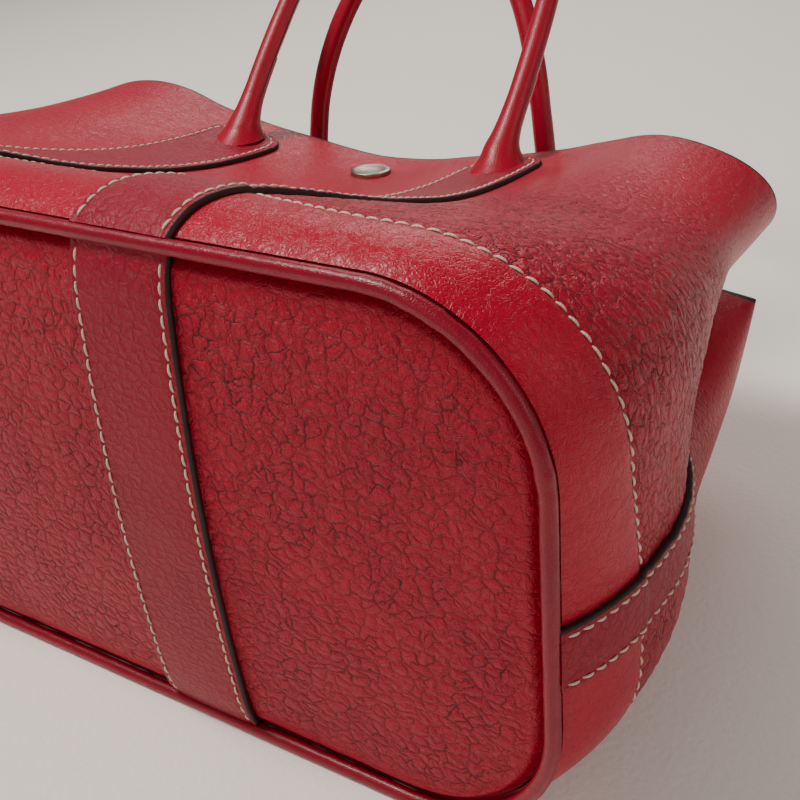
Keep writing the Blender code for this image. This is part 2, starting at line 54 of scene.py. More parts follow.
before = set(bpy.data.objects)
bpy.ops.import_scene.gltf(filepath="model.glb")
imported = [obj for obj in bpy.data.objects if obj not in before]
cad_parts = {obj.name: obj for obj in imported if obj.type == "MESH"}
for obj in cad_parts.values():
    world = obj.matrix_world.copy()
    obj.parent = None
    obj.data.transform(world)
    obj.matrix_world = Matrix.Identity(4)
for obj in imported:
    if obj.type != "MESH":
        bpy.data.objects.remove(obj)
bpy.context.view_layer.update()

# ------------------------------------------------------------ dimensions of the bag, as in the CAD
HALF_LENGTH, DEPTH, CORNER = 0.180, 0.157, 0.045
FRONT_HEIGHT, BACK_HEIGHT, GUSSET_HEIGHT = 0.222, 0.236, 0.226
WING, FOLD, LEFT_FLARE = 0.161, 0.098, 0.022
FRONT_SAG_Z, BACK_LIFT_Z = 0.1065, 0.045
FRONT_BULGE, SIDE_BULGE, BOTTOM_DOME = 0.0065, 0.0105, 0.0055
LEATHER, STRAP_LEATHER, LINING = 0.0020, 0.0019, 0.0009
BOARD, STIFFENER, GAP = 0.0018, 0.0012, 0.0003
PIPING_RADIUS = 0.0020
STRAP_WIDTH, STRAP_X, STRAP_END_ROUND = 0.034, 0.064, 0.013
STRAP_END_Y, BACK_STRAP_END_Y = 0.207, 0.2195
STRIP_WIDTH, SEAM_DROP = 0.019, 0.010
HANDLE_RADIUS, HANDLE_BASE_BELOW_END, BASE_DOME = 0.0044, 0.0095, 0.0028
FRONT_HANDLE_LEAN = math.radians(46)
SNAP_RADIUS, SNAP_BELOW_EDGE = 0.0085, 0.022
# the line of stitching round the lower body: distance round the bag, height over the bottom seam
TOPSTITCH = ((0, 0.0400), (0.050, 0.0415), (0.085, 0.0310), (0.125, 0.0220), (0.170, 0.0230),
             (0.205, 0.0245), (0.250, 0.0310), (0.290, 0.0300), (0.350, 0.0240), (0.4814, 0.0340))
FACING_DEPTH = 0.030

FLAT = HALF_LENGTH - CORNER
ARC = CORNER * math.pi / 2
HALF_ROUND = 2 * FLAT + 2 * ARC + DEPTH - 2 * CORNER
MIDDLE = HALF_ROUND / 2
SEAM = MIDDLE + SEAM_DROP
BACK_Z = GAP + STRAP_LEATHER
MIDDLE_Z = BACK_Z + DEPTH / 2
KNOTS = [0, FLAT / 3, 2 * FLAT / 3, FLAT, FLAT + ARC / 2, FLAT + ARC, MIDDLE]
KNOTS = np.array(KNOTS + [HALF_ROUND - k for k in reversed(KNOTS[:-1])])
SEAM_START_Y = PIPING_RADIUS + GAP
LINING_OFFSET = -(LEATHER + STIFFENER + 3 * GAP)
SHIFT_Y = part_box("piping_cover")[0].y + PIPING_RADIUS     # the bottom seam's y in the frame
STITCH_INSET = 0.0024
SIDE_CLEARANCE = 0.0005          # panels and linings stop this short of the side seam
SNAP_SUNK = 0.0010               # the snap's disc is pressed this far into the leather
DOME_SHARE = 0.98                # the visible bottom crowns a little less than the hidden one
PILLOW = 0.0010                  # how far the bottom leather swells between its edges
TUCKED_Y = 0.0010                # straps run down into the groove beside the piping
RANDOM = np.random.default_rng(11)
LATTICE = RANDOM.random((3, 256, 256))


# ------------------------------------------------------------ the body surface, for whole arrays
def smooth(value):
    u = np.clip(value, 0.0, 1.0)
    return u * u * (3 - 2 * u)


def seam_outline(s, inset=0.0):
    """Bottom seam by distance along it, s from 0 to HALF_ROUND. Returns x, z."""
    side = np.where(s <= MIDDLE, 1, -1)
    d = np.where(s <= MIDDLE, s, HALF_ROUND - s)
    angle = np.clip((d - FLAT) / CORNER, 0, math.pi / 2)
    radius = CORNER - inset
    x = np.where(d <= FLAT, d, FLAT + radius * np.sin(angle))
    up = np.where(d <= FLAT + ARC, DEPTH / 2 - CORNER + radius * np.cos(angle), MIDDLE - d)
    return x, MIDDLE_Z + side * up


def spline_slopes(knots, values, first, last):
    count = len(knots)
    matrix = np.zeros((count, count))
    right = np.zeros((count, values.shape[1]))
    matrix[0, 0] = matrix[-1, -1] = 1
    right[0], right[-1] = first, last
    for i in range(1, count - 1):
        before, after = knots[i] - knots[i - 1], knots[i + 1] - knots[i]
        matrix[i, i - 1:i + 2] = after, 2 * (before + after), before
        right[i] = 3 * (after * (values[i] - values[i - 1]) / before
                        + before * (values[i + 1] - values[i]) / after)
    return np.linalg.solve(matrix, right)


def spline(knots, values, slopes, s):
    """The smooth cubic through the values, at every s."""
    i = np.clip(np.searchsorted(knots, s, "right") - 1, 0, len(knots) - 2)
    width = (knots[i + 1] - knots[i])[..., None]
    u = (s - knots[i])[..., None] / width
    return (values[i] * (1 + 2 * u) * (1 - u) ** 2 + values[i + 1] * u * u * (3 - 2 * u)
            + slopes[i] * width * u * (1 - u) ** 2 + slopes[i + 1] * width * u * u * (u - 1))


MOUTH = np.array([
    (0, FRONT_SAG_Z), (FLAT / 3, FRONT_SAG_Z + 0.0045), (2 * FLAT / 3, FRONT_SAG_Z + 0.0130),
    (WING - 0.033, FRONT_SAG_Z + 0.0193), (WING, FRONT_SAG_Z + 0.0030),
    (WING - 0.016, FRONT_SAG_Z - 0.0225), (FOLD, FRONT_SAG_Z - 0.0305),
    (WING - 0.032, FRONT_SAG_Z - 0.0385), (WING - 0.004, BACK_LIFT_Z + 0.0165),
    (WING - 0.032, BACK_LIFT_Z + 0.0045), (2 * FLAT / 3, BACK_LIFT_Z + 0.0020),
    (FLAT / 3, BACK_LIFT_Z + 0.0005), (0, BACK_LIFT_Z)])
MOUTH_SLOPES = spline_slopes(KNOTS, MOUTH, (1, 0), (-1, 0))


def shares(s):
    """How much of a place is front, side and back; the three add up to 1."""
    front = 1 - smooth((s - FLAT) / ARC)
    back = 1 - smooth((HALF_ROUND - FLAT - s) / ARC)
    return front, 1 - front - back, back


def surface(s, t):
    """Places on the outer face of the body."""
    s, t = np.broadcast_arrays(np.asarray(s, float), np.asarray(t, float))
    s = (s + HALF_ROUND) % (2 * HALF_ROUND) - HALF_ROUND
    mirror = np.where(s < 0, -1.0, 1.0)
    s = np.abs(s)
    front, side, back = shares(s)
    y = t * (front * FRONT_HEIGHT + side * GUSSET_HEIGHT + back * BACK_HEIGHT)
    x0, z0 = seam_outline(s)
    x1, z1 = np.moveaxis(spline(KNOTS, MOUTH, MOUTH_SLOPES, s), -1, 0)
    flare = LEFT_FLARE * smooth((s - 0.5 * FLAT) / (0.9 * FLAT)) * smooth((HALF_ROUND - FLAT - s) / (2 * ARC))
    flare = np.where(mirror < 0, flare, 0.0)
    x1, z1 = x1 + flare, z1 + 0.35 * flare
    sagging = (1 - np.exp(-(t / 0.49) ** 2.1)) / (1 - math.exp(-(1 / 0.49) ** 2.1))
    lifting = np.clip((t - 0.62) / 0.38, 0, None) ** 2
    share = front * sagging + side * smooth((t - 0.2) / 0.8) ** 1.1 + back * lifting
    core_x, core_z = seam_outline(s, CORNER)
    bulge = (front * FRONT_BULGE * y / 0.021 * np.exp(1 - y / 0.021)
             + side * SIDE_BULGE * y / 0.045 * np.exp(1 - y / 0.045))
    x = x0 + (x1 - x0) * share + (x0 - core_x) / CORNER * bulge
    z = z0 + (z1 - z0) * share + (z0 - core_z) / CORNER * bulge
    return np.stack([mirror * x, y + SHIFT_Y, z], -1)


def unit(vectors):
    return vectors / np.linalg.norm(vectors, axis=-1, keepdims=True)


def normal(s, t):
    step = 1e-4
    t = np.clip(t, step, 1 - step)
    along = surface(s + step, t) - surface(s - step, t)
    return unit(np.cross(along, surface(s, t + step) - surface(s, t - step)))


def height_at(s):
    return surface(s, 1.0)[..., 1] - SHIFT_Y


def layer(s, t, offset):
    """Places at an offset from the body; offset may be an array too."""
    s, t = np.broadcast_arrays(np.asarray(s, float), np.asarray(t, float))
    return surface(s, t) + normal(s, t) * np.asarray(offset, float)[..., None]


def dome(x, z):
    across = 1 - (x / HALF_LENGTH) ** 2
    up = 1 - ((z - MIDDLE_Z) / (DEPTH / 2)) ** 2
    return BOTTOM_DOME * np.clip(across, 0, None) * np.clip(up, 0, None)


# ------------------------------------------------------------ grain and creases in the meshes
def distances(points):
    """How far along a line each of its points is."""
    return np.concatenate([[0], np.cumsum(np.linalg.norm(np.diff(points, axis=0), axis=1))])


def at_distances(where, reach, values):
    """The values of a line's points, read off at other distances along it."""
    return np.stack([np.interp(where, reach, values[:, k]) for k in range(3)], -1)


def waves(u, v, size, stretch=1.0, bank=0):
    """Smooth random waves from -1 to 1, about size across, longer along v by stretch."""
    a, b = u / size, v / (size * stretch)
    i, j = np.floor(a).astype(int), np.floor(b).astype(int)
    p, q = smooth(a - i), smooth(b - j)
    table = LATTICE[bank]
    corner = [table[(i + m) % 256, (j + n) % 256] for m in (0, 1) for n in (0, 1)]
    low = corner[0] * (1 - q) + corner[1] * q
    high = corner[2] * (1 - q) + corner[3] * q
    return 2 * (low * (1 - p) + high * p) - 1


def pebbles(u, v, size):
    """0 in the cracks and 1 on top of the pebbles of natural grain."""
    a, b = u / size, v / size
    i0, j0 = np.floor(a).astype(int), np.floor(b).astype(int)
    near = np.full(a.shape, 9.0)
    far = near.copy()
    for di in (-1, 0, 1):
        for dj in (-1, 0, 1):
            i, j = i0 + di, j0 + dj
            reach = np.hypot(i + LATTICE[1, i % 256, j % 256] - a, j + LATTICE[2, i % 256, j % 256] - b)
            far = np.minimum(far, np.maximum(near, reach))
            near = np.minimum(near, reach)
    return smooth((far - near) / 0.5)


# ------------------------------------------------------------ meshes
class Shape:
    """Points and faces of one piece, with flat-cut coordinates and a calm value per point."""

    def __init__(self):
        self.points, self.cut, self.calm, self.faces, self.skins = [], [], [], [], []
        self.count = 0

    def add(self, points, cut=None, calm=1.0):
        points = np.asarray(points, float).reshape(-1, 3)
        first = self.count
        self.points.append(points)
        self.cut.append(np.zeros((len(points), 2)) if cut is None else np.asarray(cut).reshape(-1, 2))
        self.calm.append(np.broadcast_to(np.asarray(calm, float).reshape(-1), (len(points),)))
        self.count += len(points)
        return first

    def face(self, corners, skin=0):
        self.faces.append([int(c) for c in corners])
        self.skins.append(skin)

    def grid(self, first, rows, columns, skin=0, closed=False, flip=False, skin_of=None):
        wide = columns if closed else columns - 1
        r, c = np.meshgrid(np.arange(rows - 1), np.arange(wide), indexing="ij")
        here = first + r * columns + c
        there = first + r * columns + (c + 1) % columns
        quads = np.stack([here, there, there + columns, here + columns], -1).reshape(-1, 4)
        if flip:
            quads = quads[:, ::-1]
        self.faces += quads.tolist()
        if skin_of is None:
            self.skins += [skin] * len(quads)
        else:
            self.skins += [int(k) for k in np.asarray(skin_of)[r, c].reshape(-1)]

    def caps(self, first, rows, columns):
        """Closes the first and the last row of a grid with one face each."""
        last = first + (rows - 1) * columns
        self.face([first + k for k in range(columns)][::-1])
        self.face([last + k for k in range(columns)])

    def make(self, name, finishes, body="bag", replaces=(), angle=60, outward=False):
        mesh = bpy.data.meshes.new(name)
        mesh.from_pydata(np.concatenate(self.points).tolist(), [], self.faces)
        made = bpy.data.objects.new(name, mesh)
        bpy.context.scene.collection.objects.link(made)
        for finish in finishes:
            mesh.materials.append(finish)
        mesh.polygons.foreach_set("material_index", self.skins)
        corners = np.zeros(len(mesh.loops), int)
        mesh.loops.foreach_get("vertex_index", corners)
        layout = mesh.uv_layers.new(name="cut")
        layout.data.foreach_set("uv", np.concatenate(self.cut)[corners].reshape(-1))
        calm = mesh.attributes.new("calm", "FLOAT", "POINT")
        calm.data.foreach_set("value", np.concatenate(self.calm))
        mesh.shade_smooth()
        mesh.set_sharp_from_angle(angle=math.radians(angle))
        if outward:
            select_only(made)
            bpy.ops.object.mode_set(mode="EDIT")
            bpy.ops.mesh.select_all(action="SELECT")
            bpy.ops.mesh.normals_make_consistent(inside=False)
            bpy.ops.object.mode_set(mode="OBJECT")
        mesh.validate()
        mesh.update()
        settle(made, body, replaces)
        return made


def select_only(made):
    bpy.ops.object.select_all(action="DESELECT")
    made.select_set(True)
    bpy.context.view_layer.objects.active = made


def settle(made, body, replaces=()):
    if body:
        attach(made, body)
    if replaces:
        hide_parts(*replaces)


def closed_sheet(shape, outer, inner, cut, calm, stride, edge_rows=0):
    """A sheet with a fine outer face and a coarse inner one, every stride-th row and column."""
    rows, columns = outer.shape[:2]
    plain = rows - edge_rows
    first = shape.add(outer, cut, calm)
    skins = np.zeros((rows - 1, columns - 1), int)
    if edge_rows:
        skins[plain - 2:] = 1
    shape.grid(first, rows, columns, skin_of=skins)
    few_rows, few_columns = inner.shape[:2]
    picked = np.asarray(cut).reshape(rows, columns, 2)[:plain:stride, ::stride]
    back = shape.add(inner, picked, 1.0)
    shape.grid(back, few_rows, few_columns, flip=True)

    def rim(fine, coarse, skin=0):
        for k in range(len(coarse) - 1):
            side = fine[k * stride:(k + 1) * stride + 1]
            shape.face(list(reversed(side)) + [coarse[k], coarse[k + 1]], skin)

    def place(row, column):
        return first + row * columns + column

    bottom = [place(0, c) for c in range(columns)]
    top = [place(rows - 1, c) for c in range(columns)]
    rim(bottom, [back + c for c in range(few_columns)])
    rim(top[::-1], [back + (few_rows - 1) * few_columns + c for c in range(few_columns)][::-1],
        1 if edge_rows else 0)
    for column, few in ((0, 0), (columns - 1, few_columns - 1)):
        side = [place(r, column) for r in range(plain)]
        coarse = [back + r * few_columns + few for r in range(few_rows)]
        if column == 0:
            side, coarse = side[::-1], coarse[::-1]
        rim(side, coarse)
        if edge_rows:
            end = [place(r, column) for r in range(plain - 1, rows)]
            end.append(back + (few_rows - 1) * few_columns + few)
            shape.face(end if column == 0 else end[::-1], 1)


def whole_steps(length, size, stride):
    return stride * max(1, round(length / size / stride))


# ------------------------------------------------------------ shader maths
class Value:
    """A shader socket that can be used in ordinary sums."""

    def __init__(self, finish, socket):
        self.finish, self.socket = finish, socket

    def maths(self, operation, *others):
        inputs = dict(enumerate((self, *others)))
        return self.finish.node("ShaderNodeMath", {"operation": operation}, inputs)

    def __add__(self, other):
        return self.maths("ADD", other)

    def __mul__(self, other):
        return self.maths("MULTIPLY", other)

    def __sub__(self, other):
        return self.maths("SUBTRACT", other)

    def __rsub__(self, other):
        return self * -1 + other

    def __pow__(self, other):
        return self.maths("POWER", other)

    __radd__, __rmul__ = __add__, __mul__

    def between(self, low, high):
        """0 below low, 1 above high, smooth between."""
        return self.finish.node("ShaderNodeMapRange", {"interpolation_type": "SMOOTHSTEP"},
                                {"Value": self, "From Min": low, "From Max": high})


class Finish:
    """One material and its nodes."""

    def __init__(self, name):
        self.material = bpy.data.materials.new(name)
        self.material.use_nodes = True
        self.nodes = self.material.node_tree.nodes
        self.shader = self.nodes["Principled BSDF"]

    def node(self, kind, settings, inputs, output=0):
        made = self.nodes.new(kind)
        for key, value in settings.items():
            if key == "stops":
                ramp = made.color_ramp
                while len(ramp.elements) < len(value):
                    ramp.elements.new(0.5)
                for element, (position, colour) in zip(ramp.elements, value):
                    element.position, element.color = position, (*colour, 1)
            else:
                setattr(made, key, value)
        for key, value in inputs.items():
            self.feed(made.inputs[key], value)
        return Value(self, made.outputs[output])

    def feed(self, socket, value):
        if isinstance(value, Value):
            self.material.node_tree.links.new(value.socket, socket)
        elif isinstance(value, tuple) and len(value) == 3 and socket.type == "RGBA":
            socket.default_value = (*value, 1)
        else:
            socket.default_value = value

    def mix(self, factor, first, second):
        return self.node("ShaderNodeMix", {"data_type": "RGBA"}, {0: factor, 6: first, 7: second}, 2)

    def vector(self, operation, first, second):
        return self.node("ShaderNodeVectorMath", {"operation": operation}, {0: first, 1: second})

    def scaled(self, place, factor):
        return self.node("ShaderNodeVectorMath", {"operation": "SCALE"}, {0: place, "Scale": factor})

    def cut(self):
        return self.node("ShaderNodeUVMap", {"uv_map": "cut"}, {})

    def object_place(self):
        return self.node("ShaderNodeTexCoord", {}, {}, "Object")

    def calm(self):
        return self.node("ShaderNodeAttribute", {"attribute_name": "calm"}, {}, "Fac")

    def noise(self, place, scale, detail=2.0, output="Fac", **more):
        inputs = {"Vector": place, "Scale": scale, "Detail": detail, **more}
        return self.node("ShaderNodeTexNoise", {}, inputs, output)

    def cells(self, place, scale, feature="DISTANCE_TO_EDGE"):
        settings = {"voronoi_dimensions": "2D", "feature": feature}
        return self.node("ShaderNodeTexVoronoi", settings, {"Vector": place, "Scale": scale}, "Distance")

    def finish(self, colour, roughness, height=None, **constants):
        self.feed(self.shader.inputs["Base Color"], colour)
        self.feed(self.shader.inputs["Roughness"], roughness)
        for key, value in constants.items():
            self.feed(self.shader.inputs[key.replace("_", " ")], value)
        if height is not None:
            bump = self.node("ShaderNodeBump", {}, {"Strength": 1.0, "Distance": 1.0, "Height": height})
            self.feed(self.shader.inputs["Normal"], bump)
        return self.material


# ------------------------------------------------------------ finishes
def shaded(colour, share):
    return tuple(c * share for c in colour)


def pebbled_leather(name, colour, crack_shade, pebble, depth, gloss):
    """Natural grain leather; where calm is 1 it is smooth with a fine grain only."""
    f = Finish(name)
    place = f.cut()
    calm = f.calm()
    drift = f.vector("SUBTRACT", f.noise(place, 210.0, 3.0, "Color"), (0.5, 0.5, 0.5))
    bent = f.vector("ADD", place, f.scaled(drift, pebble * 1.3))
    squeezed = f.vector("MULTIPLY", bent, (1.0, 1.30, 1.0))
    edge = f.cells(squeezed, 1 / pebble)
    small = f.cells(bent, 2.3 / pebble)
    tiny = f.cells(bent, 5.2 / pebble)
    ease = f.noise(place, 34.0, 2.0).between(0.30, 0.66)
    broken = f.noise(bent, 0.9 / pebble, 3.0).between(0.34, 0.60)
    top = 1 - (1 - edge.between(0.0, 0.11)) * broken
    round_top = edge.between(0.0, 0.42)
    fine_top = 1 - (1 - small.between(0.0, 0.16)) * (1 - broken * 0.6)
    tiny_top = tiny.between(0.0, 0.22)
    pores = f.noise(place, 2600.0, 2.0)
    creases = f.noise(f.vector("MULTIPLY", bent, (1.0, 0.30, 1.0)), 520.0, 3.0)
    rough_share = (1 - calm) * (0.62 + ease * 0.38)
    height = (top * 0.35 + round_top * 0.65) * rough_share * depth
    height = height + fine_top * (0.05 + rough_share * 0.30) * depth
    height = height + tiny_top * (0.05 + rough_share * 0.07) * depth
    height = height + creases * 0.00016 + pores * 0.000018
    # painted shade: the cracks of the grain are darkened towards the shade colour, standing in for the shadow
    # that falls in them
    crack_shade_mask = (1 - top) * rough_share + (1 - fine_top) * rough_share * 0.55
    patches = f.noise(place, 13.0, 3.0).between(0.30, 0.72)
    body = f.mix(patches * 0.40, colour, tuple(c * 0.74 + d * 0.10 for c, d in zip(colour, crack_shade)))
    tint = f.mix((crack_shade_mask * 0.85).maths("MINIMUM", 1.0), body, crack_shade)
    roughness = gloss + rough_share * 0.10 + (1 - top) * rough_share * 0.20 + (pores - 0.5) * 0.10
    return f.finish(tint, roughness, height, Specular_IOR_Level=0.28, Coat_Weight=0.03, Coat_Roughness=0.2)


def fine_leather(name, colour, crack_shade, gloss, grain=900.0, depth=0.00005, wrinkles=0.00010):
    """Smooth leather with a fine grain and faint creases, for straps, piping and handles."""
    f = Finish(name)
    place = f.cut()
    drift = f.scaled(f.noise(place, 700.0, 2.0, "Color"), 0.0008)
    grain_cells = f.cells(f.vector("ADD", place, drift), grain)
    top = grain_cells.between(0.0, 0.25)
    streaks = f.noise(f.vector("MULTIPLY", place, (0.35, 1.0, 1.0)), 260.0, 4.0)
    patches = f.noise(place, 26.0, 4.0).between(0.35, 0.70)
    body = f.mix(patches * 0.5, colour, tuple(c * 0.70 + d * 0.2 for c, d in zip(colour, crack_shade)))
    # painted shade: the low places between the grain cells are darkened towards the shade colour
    tint = f.mix((1 - top) * 0.45, body, crack_shade)
    height = top * depth + streaks * wrinkles
    roughness = gloss + (1 - top) * 0.15 + (patches - 0.5) * 0.08
    return f.finish(tint, roughness, height, Specular_IOR_Level=0.36, Coat_Weight=0.05, Coat_Roughness=0.25)


def edge_paint(colour):
    f = Finish("painted_edge")
    place = f.object_place()
    layers = f.noise(place, 900.0, 3.0)
    worn = f.noise(place, 120.0, 3.0).between(0.55, 0.72)
    tint = f.mix(worn * 0.45, colour, shaded(colour, 2.6))
    return f.finish(tint, 0.42 + layers * 0.2, layers * 0.00012, Specular_IOR_Level=0.45)


def linen_thread(colour):
    f = Finish("linen_thread")
    place = f.cut()
    twist = f.node("ShaderNodeTexWave", {"bands_direction": "DIAGONAL"},
                   {"Vector": place, "Scale": 700.0, "Distortion": 0.6}, "Fac")
    soil = f.noise(f.object_place(), 60.0, 3.0).between(0.40, 0.75)
    tint = f.mix(soil * 0.55, colour, tuple(c * k for c, k in zip(colour, (0.80, 0.66, 0.60))))
    # painted shade: the grooves between the twisted strands are darkened
    tint = f.mix((1 - twist) * 0.35, tint, shaded(colour, 0.55))
    return f.finish(tint, 0.72, twist * 0.00008, Sheen_Weight=0.15)


def brushed_metal(name, colour):
    f = Finish(name)
    place = f.object_place()
    scratches = f.noise(f.vector("MULTIPLY", place, (1.0, 9.0, 1.0)), 900.0, 3.0)
    tarnish = f.noise(place, 260.0, 3.0).between(0.45, 0.70)
    tint = f.mix(tarnish * 0.5, colour, shaded(colour, 0.55))
    return f.finish(tint, 0.26 + scratches * 0.22, scratches * 0.00003, Metallic=1.0)


def suede_lining(colour):
    f = Finish("goat_lining")
    place = f.cut()
    grain = f.cells(place, 1400.0).between(0.0, 0.30)
    patches = f.noise(place, 20.0, 3.0)
    tint = f.mix(patches, colour, shaded(colour, 0.62))
    return f.finish(tint, 0.68, grain * 0.00006, Sheen_Weight=0.1)


def hidden_board():
    f = Finish("pressed_board")
    fibres = f.noise(f.object_place(), 420.0, 4.0)
    tint = f.mix(fibres, (0.30, 0.22, 0.14), (0.42, 0.33, 0.22))
    return f.finish(tint, 0.85, fibres * 0.0001)


def hidden_cord():
    f = Finish("cotton_filler")
    strands = f.noise(f.object_place(), 700.0, 2.0)
    tint = f.mix(strands, (0.62, 0.57, 0.48), (0.78, 0.74, 0.66))
    return f.finish(tint, 0.9, strands * 0.0002)


def floor_cloth():
    f = Finish("pale_floor")
    place = f.object_place()
    soft = f.noise(place, 6.0, 3.0)
    weave = f.noise(place, 420.0, 2.0)
    tint = f.mix(soft, (0.90, 0.85, 0.77), (0.95, 0.91, 0.84))
    return f.finish(tint, 0.92, weave * 0.0004, Emission_Color=(1.0, 0.94, 0.86), Emission_Strength=0.09)


FINISHES = {}


def finishes():
    """Every finish of the bag, made once."""
    if FINISHES:
        return FINISHES
    colours = bpy.context.scene.tote_colours
    sizes = bpy.context.scene.tote_sizes
    red, crack_shade, strap = tuple(colours.leather), tuple(colours.shade), tuple(colours.strap)
    FINISHES.update({
        "body": pebbled_leather("pebbled_leather", red, crack_shade, sizes.pebble, sizes.pebble_depth, 0.30),
        "bottom": pebbled_leather("bottom_leather", red, crack_shade, sizes.pebble * 1.08,
                                  sizes.pebble_depth * 1.15, 0.36),
        "strap": pebbled_leather("strap_leather", strap, crack_shade, sizes.pebble * 0.85,
                                 sizes.pebble_depth * 0.8, 0.40),
        "piping": fine_leather("piping_leather", strap, crack_shade, 0.27, 1300.0, 0.00003, 0.00012),
        "handle": fine_leather("handle_leather", red, crack_shade, 0.33, 1200.0, 0.00003, 0.00010),
        "facing": fine_leather("facing_leather", shaded(red, 0.8), crack_shade, 0.5),
        "edge": edge_paint(tuple(colours.edge)),
        "thread": linen_thread(tuple(colours.thread)),
        "metal": brushed_metal("snap_metal", tuple(colours.metal)),
        "lining": suede_lining(shaded(red, 0.55)),
        "board": hidden_board(),
        "cord": hidden_cord(),
    })
    return FINISHES


# ------------------------------------------------------------ body panels
STITCH_KNOTS, STITCH_Y = np.array(TOPSTITCH)[:, 0], np.array(TOPSTITCH)[:, 1:]
STITCH_SLOPES = spline_slopes(STITCH_KNOTS, STITCH_Y, 0.0, 0.0)


def topstitch_y(s):
    """How far from the bottom seam the line of stitching runs."""
    around = np.abs((s + HALF_ROUND) % (2 * HALF_ROUND) - HALF_ROUND)
    return spline(STITCH_KNOTS, STITCH_Y, STITCH_SLOPES, around)[..., 0]


def body_relief(s, y):
    """How far the body's outer face stands off its plain surface, and how calm its grain is."""
    around = np.abs((s + HALF_ROUND) % (2 * HALF_ROUND) - HALF_ROUND)
    front, side, _ = shares(around)
    corner = 1 - np.abs(front - side)
    upper = smooth((y - 0.035) / 0.05)
    past = y - topstitch_y(s)
    padded = 0.0007 * (1 - smooth((past + 0.0015) / 0.003))
    groove = -0.0005 * np.exp(-(past / 0.0012) ** 2)
    soft = 0.0007 * waves(s, y, 0.050, 1.3) * upper
    soft = soft + 0.00035 * waves(s + 0.3, y, 0.017, 1.6, 1) * upper
    pulled = 0.00022 * waves(s, y, 0.0042, 4.0, 2) * (0.25 + 0.75 * np.clip(corner, 0, 1))
    pulled = pulled * (1 - smooth((past + 0.004) / 0.02))
    stretched = smooth((0.002 - past) / 0.004)
    plain = front * smooth((0.120 - around) / 0.06) * smooth((y - 0.070) / 0.05)
    mouth = smooth((y - 0.110) / 0.07) * 0.78
    left = 0.7 * smooth((-s - 0.01) / 0.05) * front * smooth((y - 0.05) / 0.04)
    calm = np.maximum(np.maximum(stretched * 0.84, plain * 0.85), np.maximum(mouth, left))
    grain = 0.00009 * pebbles(s + 1, y * 1.3 + 1, 0.0044) * (1 - calm)
    bent = s + 2 + 0.002 * waves(s, y, 0.008)
    grain = grain + 0.00028 * pebbles(bent, y * 1.5 + 1, 0.0068) * (1 - calm) ** 2
    snap_y = FRONT_HEIGHT - SNAP_BELOW_EDGE
    dimple = -0.0011 * np.exp(-((around / 0.020) ** 2 + ((y - snap_y) / 0.013) ** 2))
    return padded + groove + soft + pulled + grain + dimple, calm


def half_and_centre(back):
    """How far a front or back sheet reaches from its middle, and where its middle is."""
    return (HALF_ROUND - SEAM if back else SEAM) - SIDE_CLEARANCE, HALF_ROUND if back else 0.0


def panel(name, back, size, stride, replaces):
    """The leather of the front or the back, from one side seam over the middle to the other."""
    half, centre = half_and_centre(back)
    s = centre + np.linspace(-half, half, whole_steps(2 * half, size, stride) + 1)
    t = np.linspace(SEAM_START_Y / FRONT_HEIGHT, 1, whole_steps(FRONT_HEIGHT, size, stride) + 1)
    ss, tt = np.meshgrid(s, t)
    yy = tt * height_at(ss)
    relief, calm = body_relief(ss, yy)
    outer = layer(ss, tt, relief)
    edge = []
    thick = LEATHER + 0.0001
    for depth, out in ((0.18, 0.00035), (0.5, 0.0006), (0.82, 0.00035)):
        row = layer(s, 1.0, relief[-1] - depth * thick)
        row[:, 1] += out
        edge.append(row)
    outer = np.concatenate([outer, np.array(edge)])
    cut = np.stack([ss, yy], -1)
    cut = np.concatenate([cut, np.repeat(cut[-1:], 3, 0)])
    calm = np.concatenate([calm, np.ones((3, calm.shape[1]))])
    picked = (slice(None, None, stride),) * 2
    inner = layer(ss[picked], tt[picked], -thick)
    shape = Shape()
    closed_sheet(shape, outer, inner, cut, calm, stride, 3)
    look = finishes()
    return shape.make(name, [look["body"], look["edge"]], "bag", replaces)


def inside_sheet(name, back, first_y, last_t, outer, thick, finish, replaces):
    """A facing or lining: its outer face lies against the panel, its inner face is seen."""
    half, centre = half_and_centre(back)
    stride = 2
    columns = whole_steps(2 * (half + SIDE_CLEARANCE), 0.0040, stride)
    s = centre + np.linspace(-half, half, columns + 1)
    t = np.linspace(first_y / FRONT_HEIGHT, last_t, whole_steps(0.2, 0.0050, stride) + 1)
    ss, tt = np.meshgrid(s, t)
    yy = tt * height_at(ss)
    seen = layer(ss, tt, outer - thick + 0.0002 * waves(ss, yy, 0.02))
    hidden = layer(ss[::stride, ::stride], tt[::stride, ::stride], outer)
    cut = np.stack([ss, yy], -1)
    shape = Shape()
    closed_sheet(shape, seen[:, ::-1], hidden[:, ::-1], cut[:, ::-1], 1.0 + 0 * ss, stride)
    look = finishes()
    return shape.make(name, [look[finish], look["edge"]], "bag", replaces)


def bottom_half_width(z, inset):
    """Half the bottom's width at a height, inside the rounded corners."""
    past = np.clip(np.abs(z - MIDDLE_Z) - (DEPTH / 2 - CORNER), 0, None)
    radius = CORNER - inset
    return FLAT + np.sqrt(np.clip(radius ** 2 - past ** 2, 0, None))


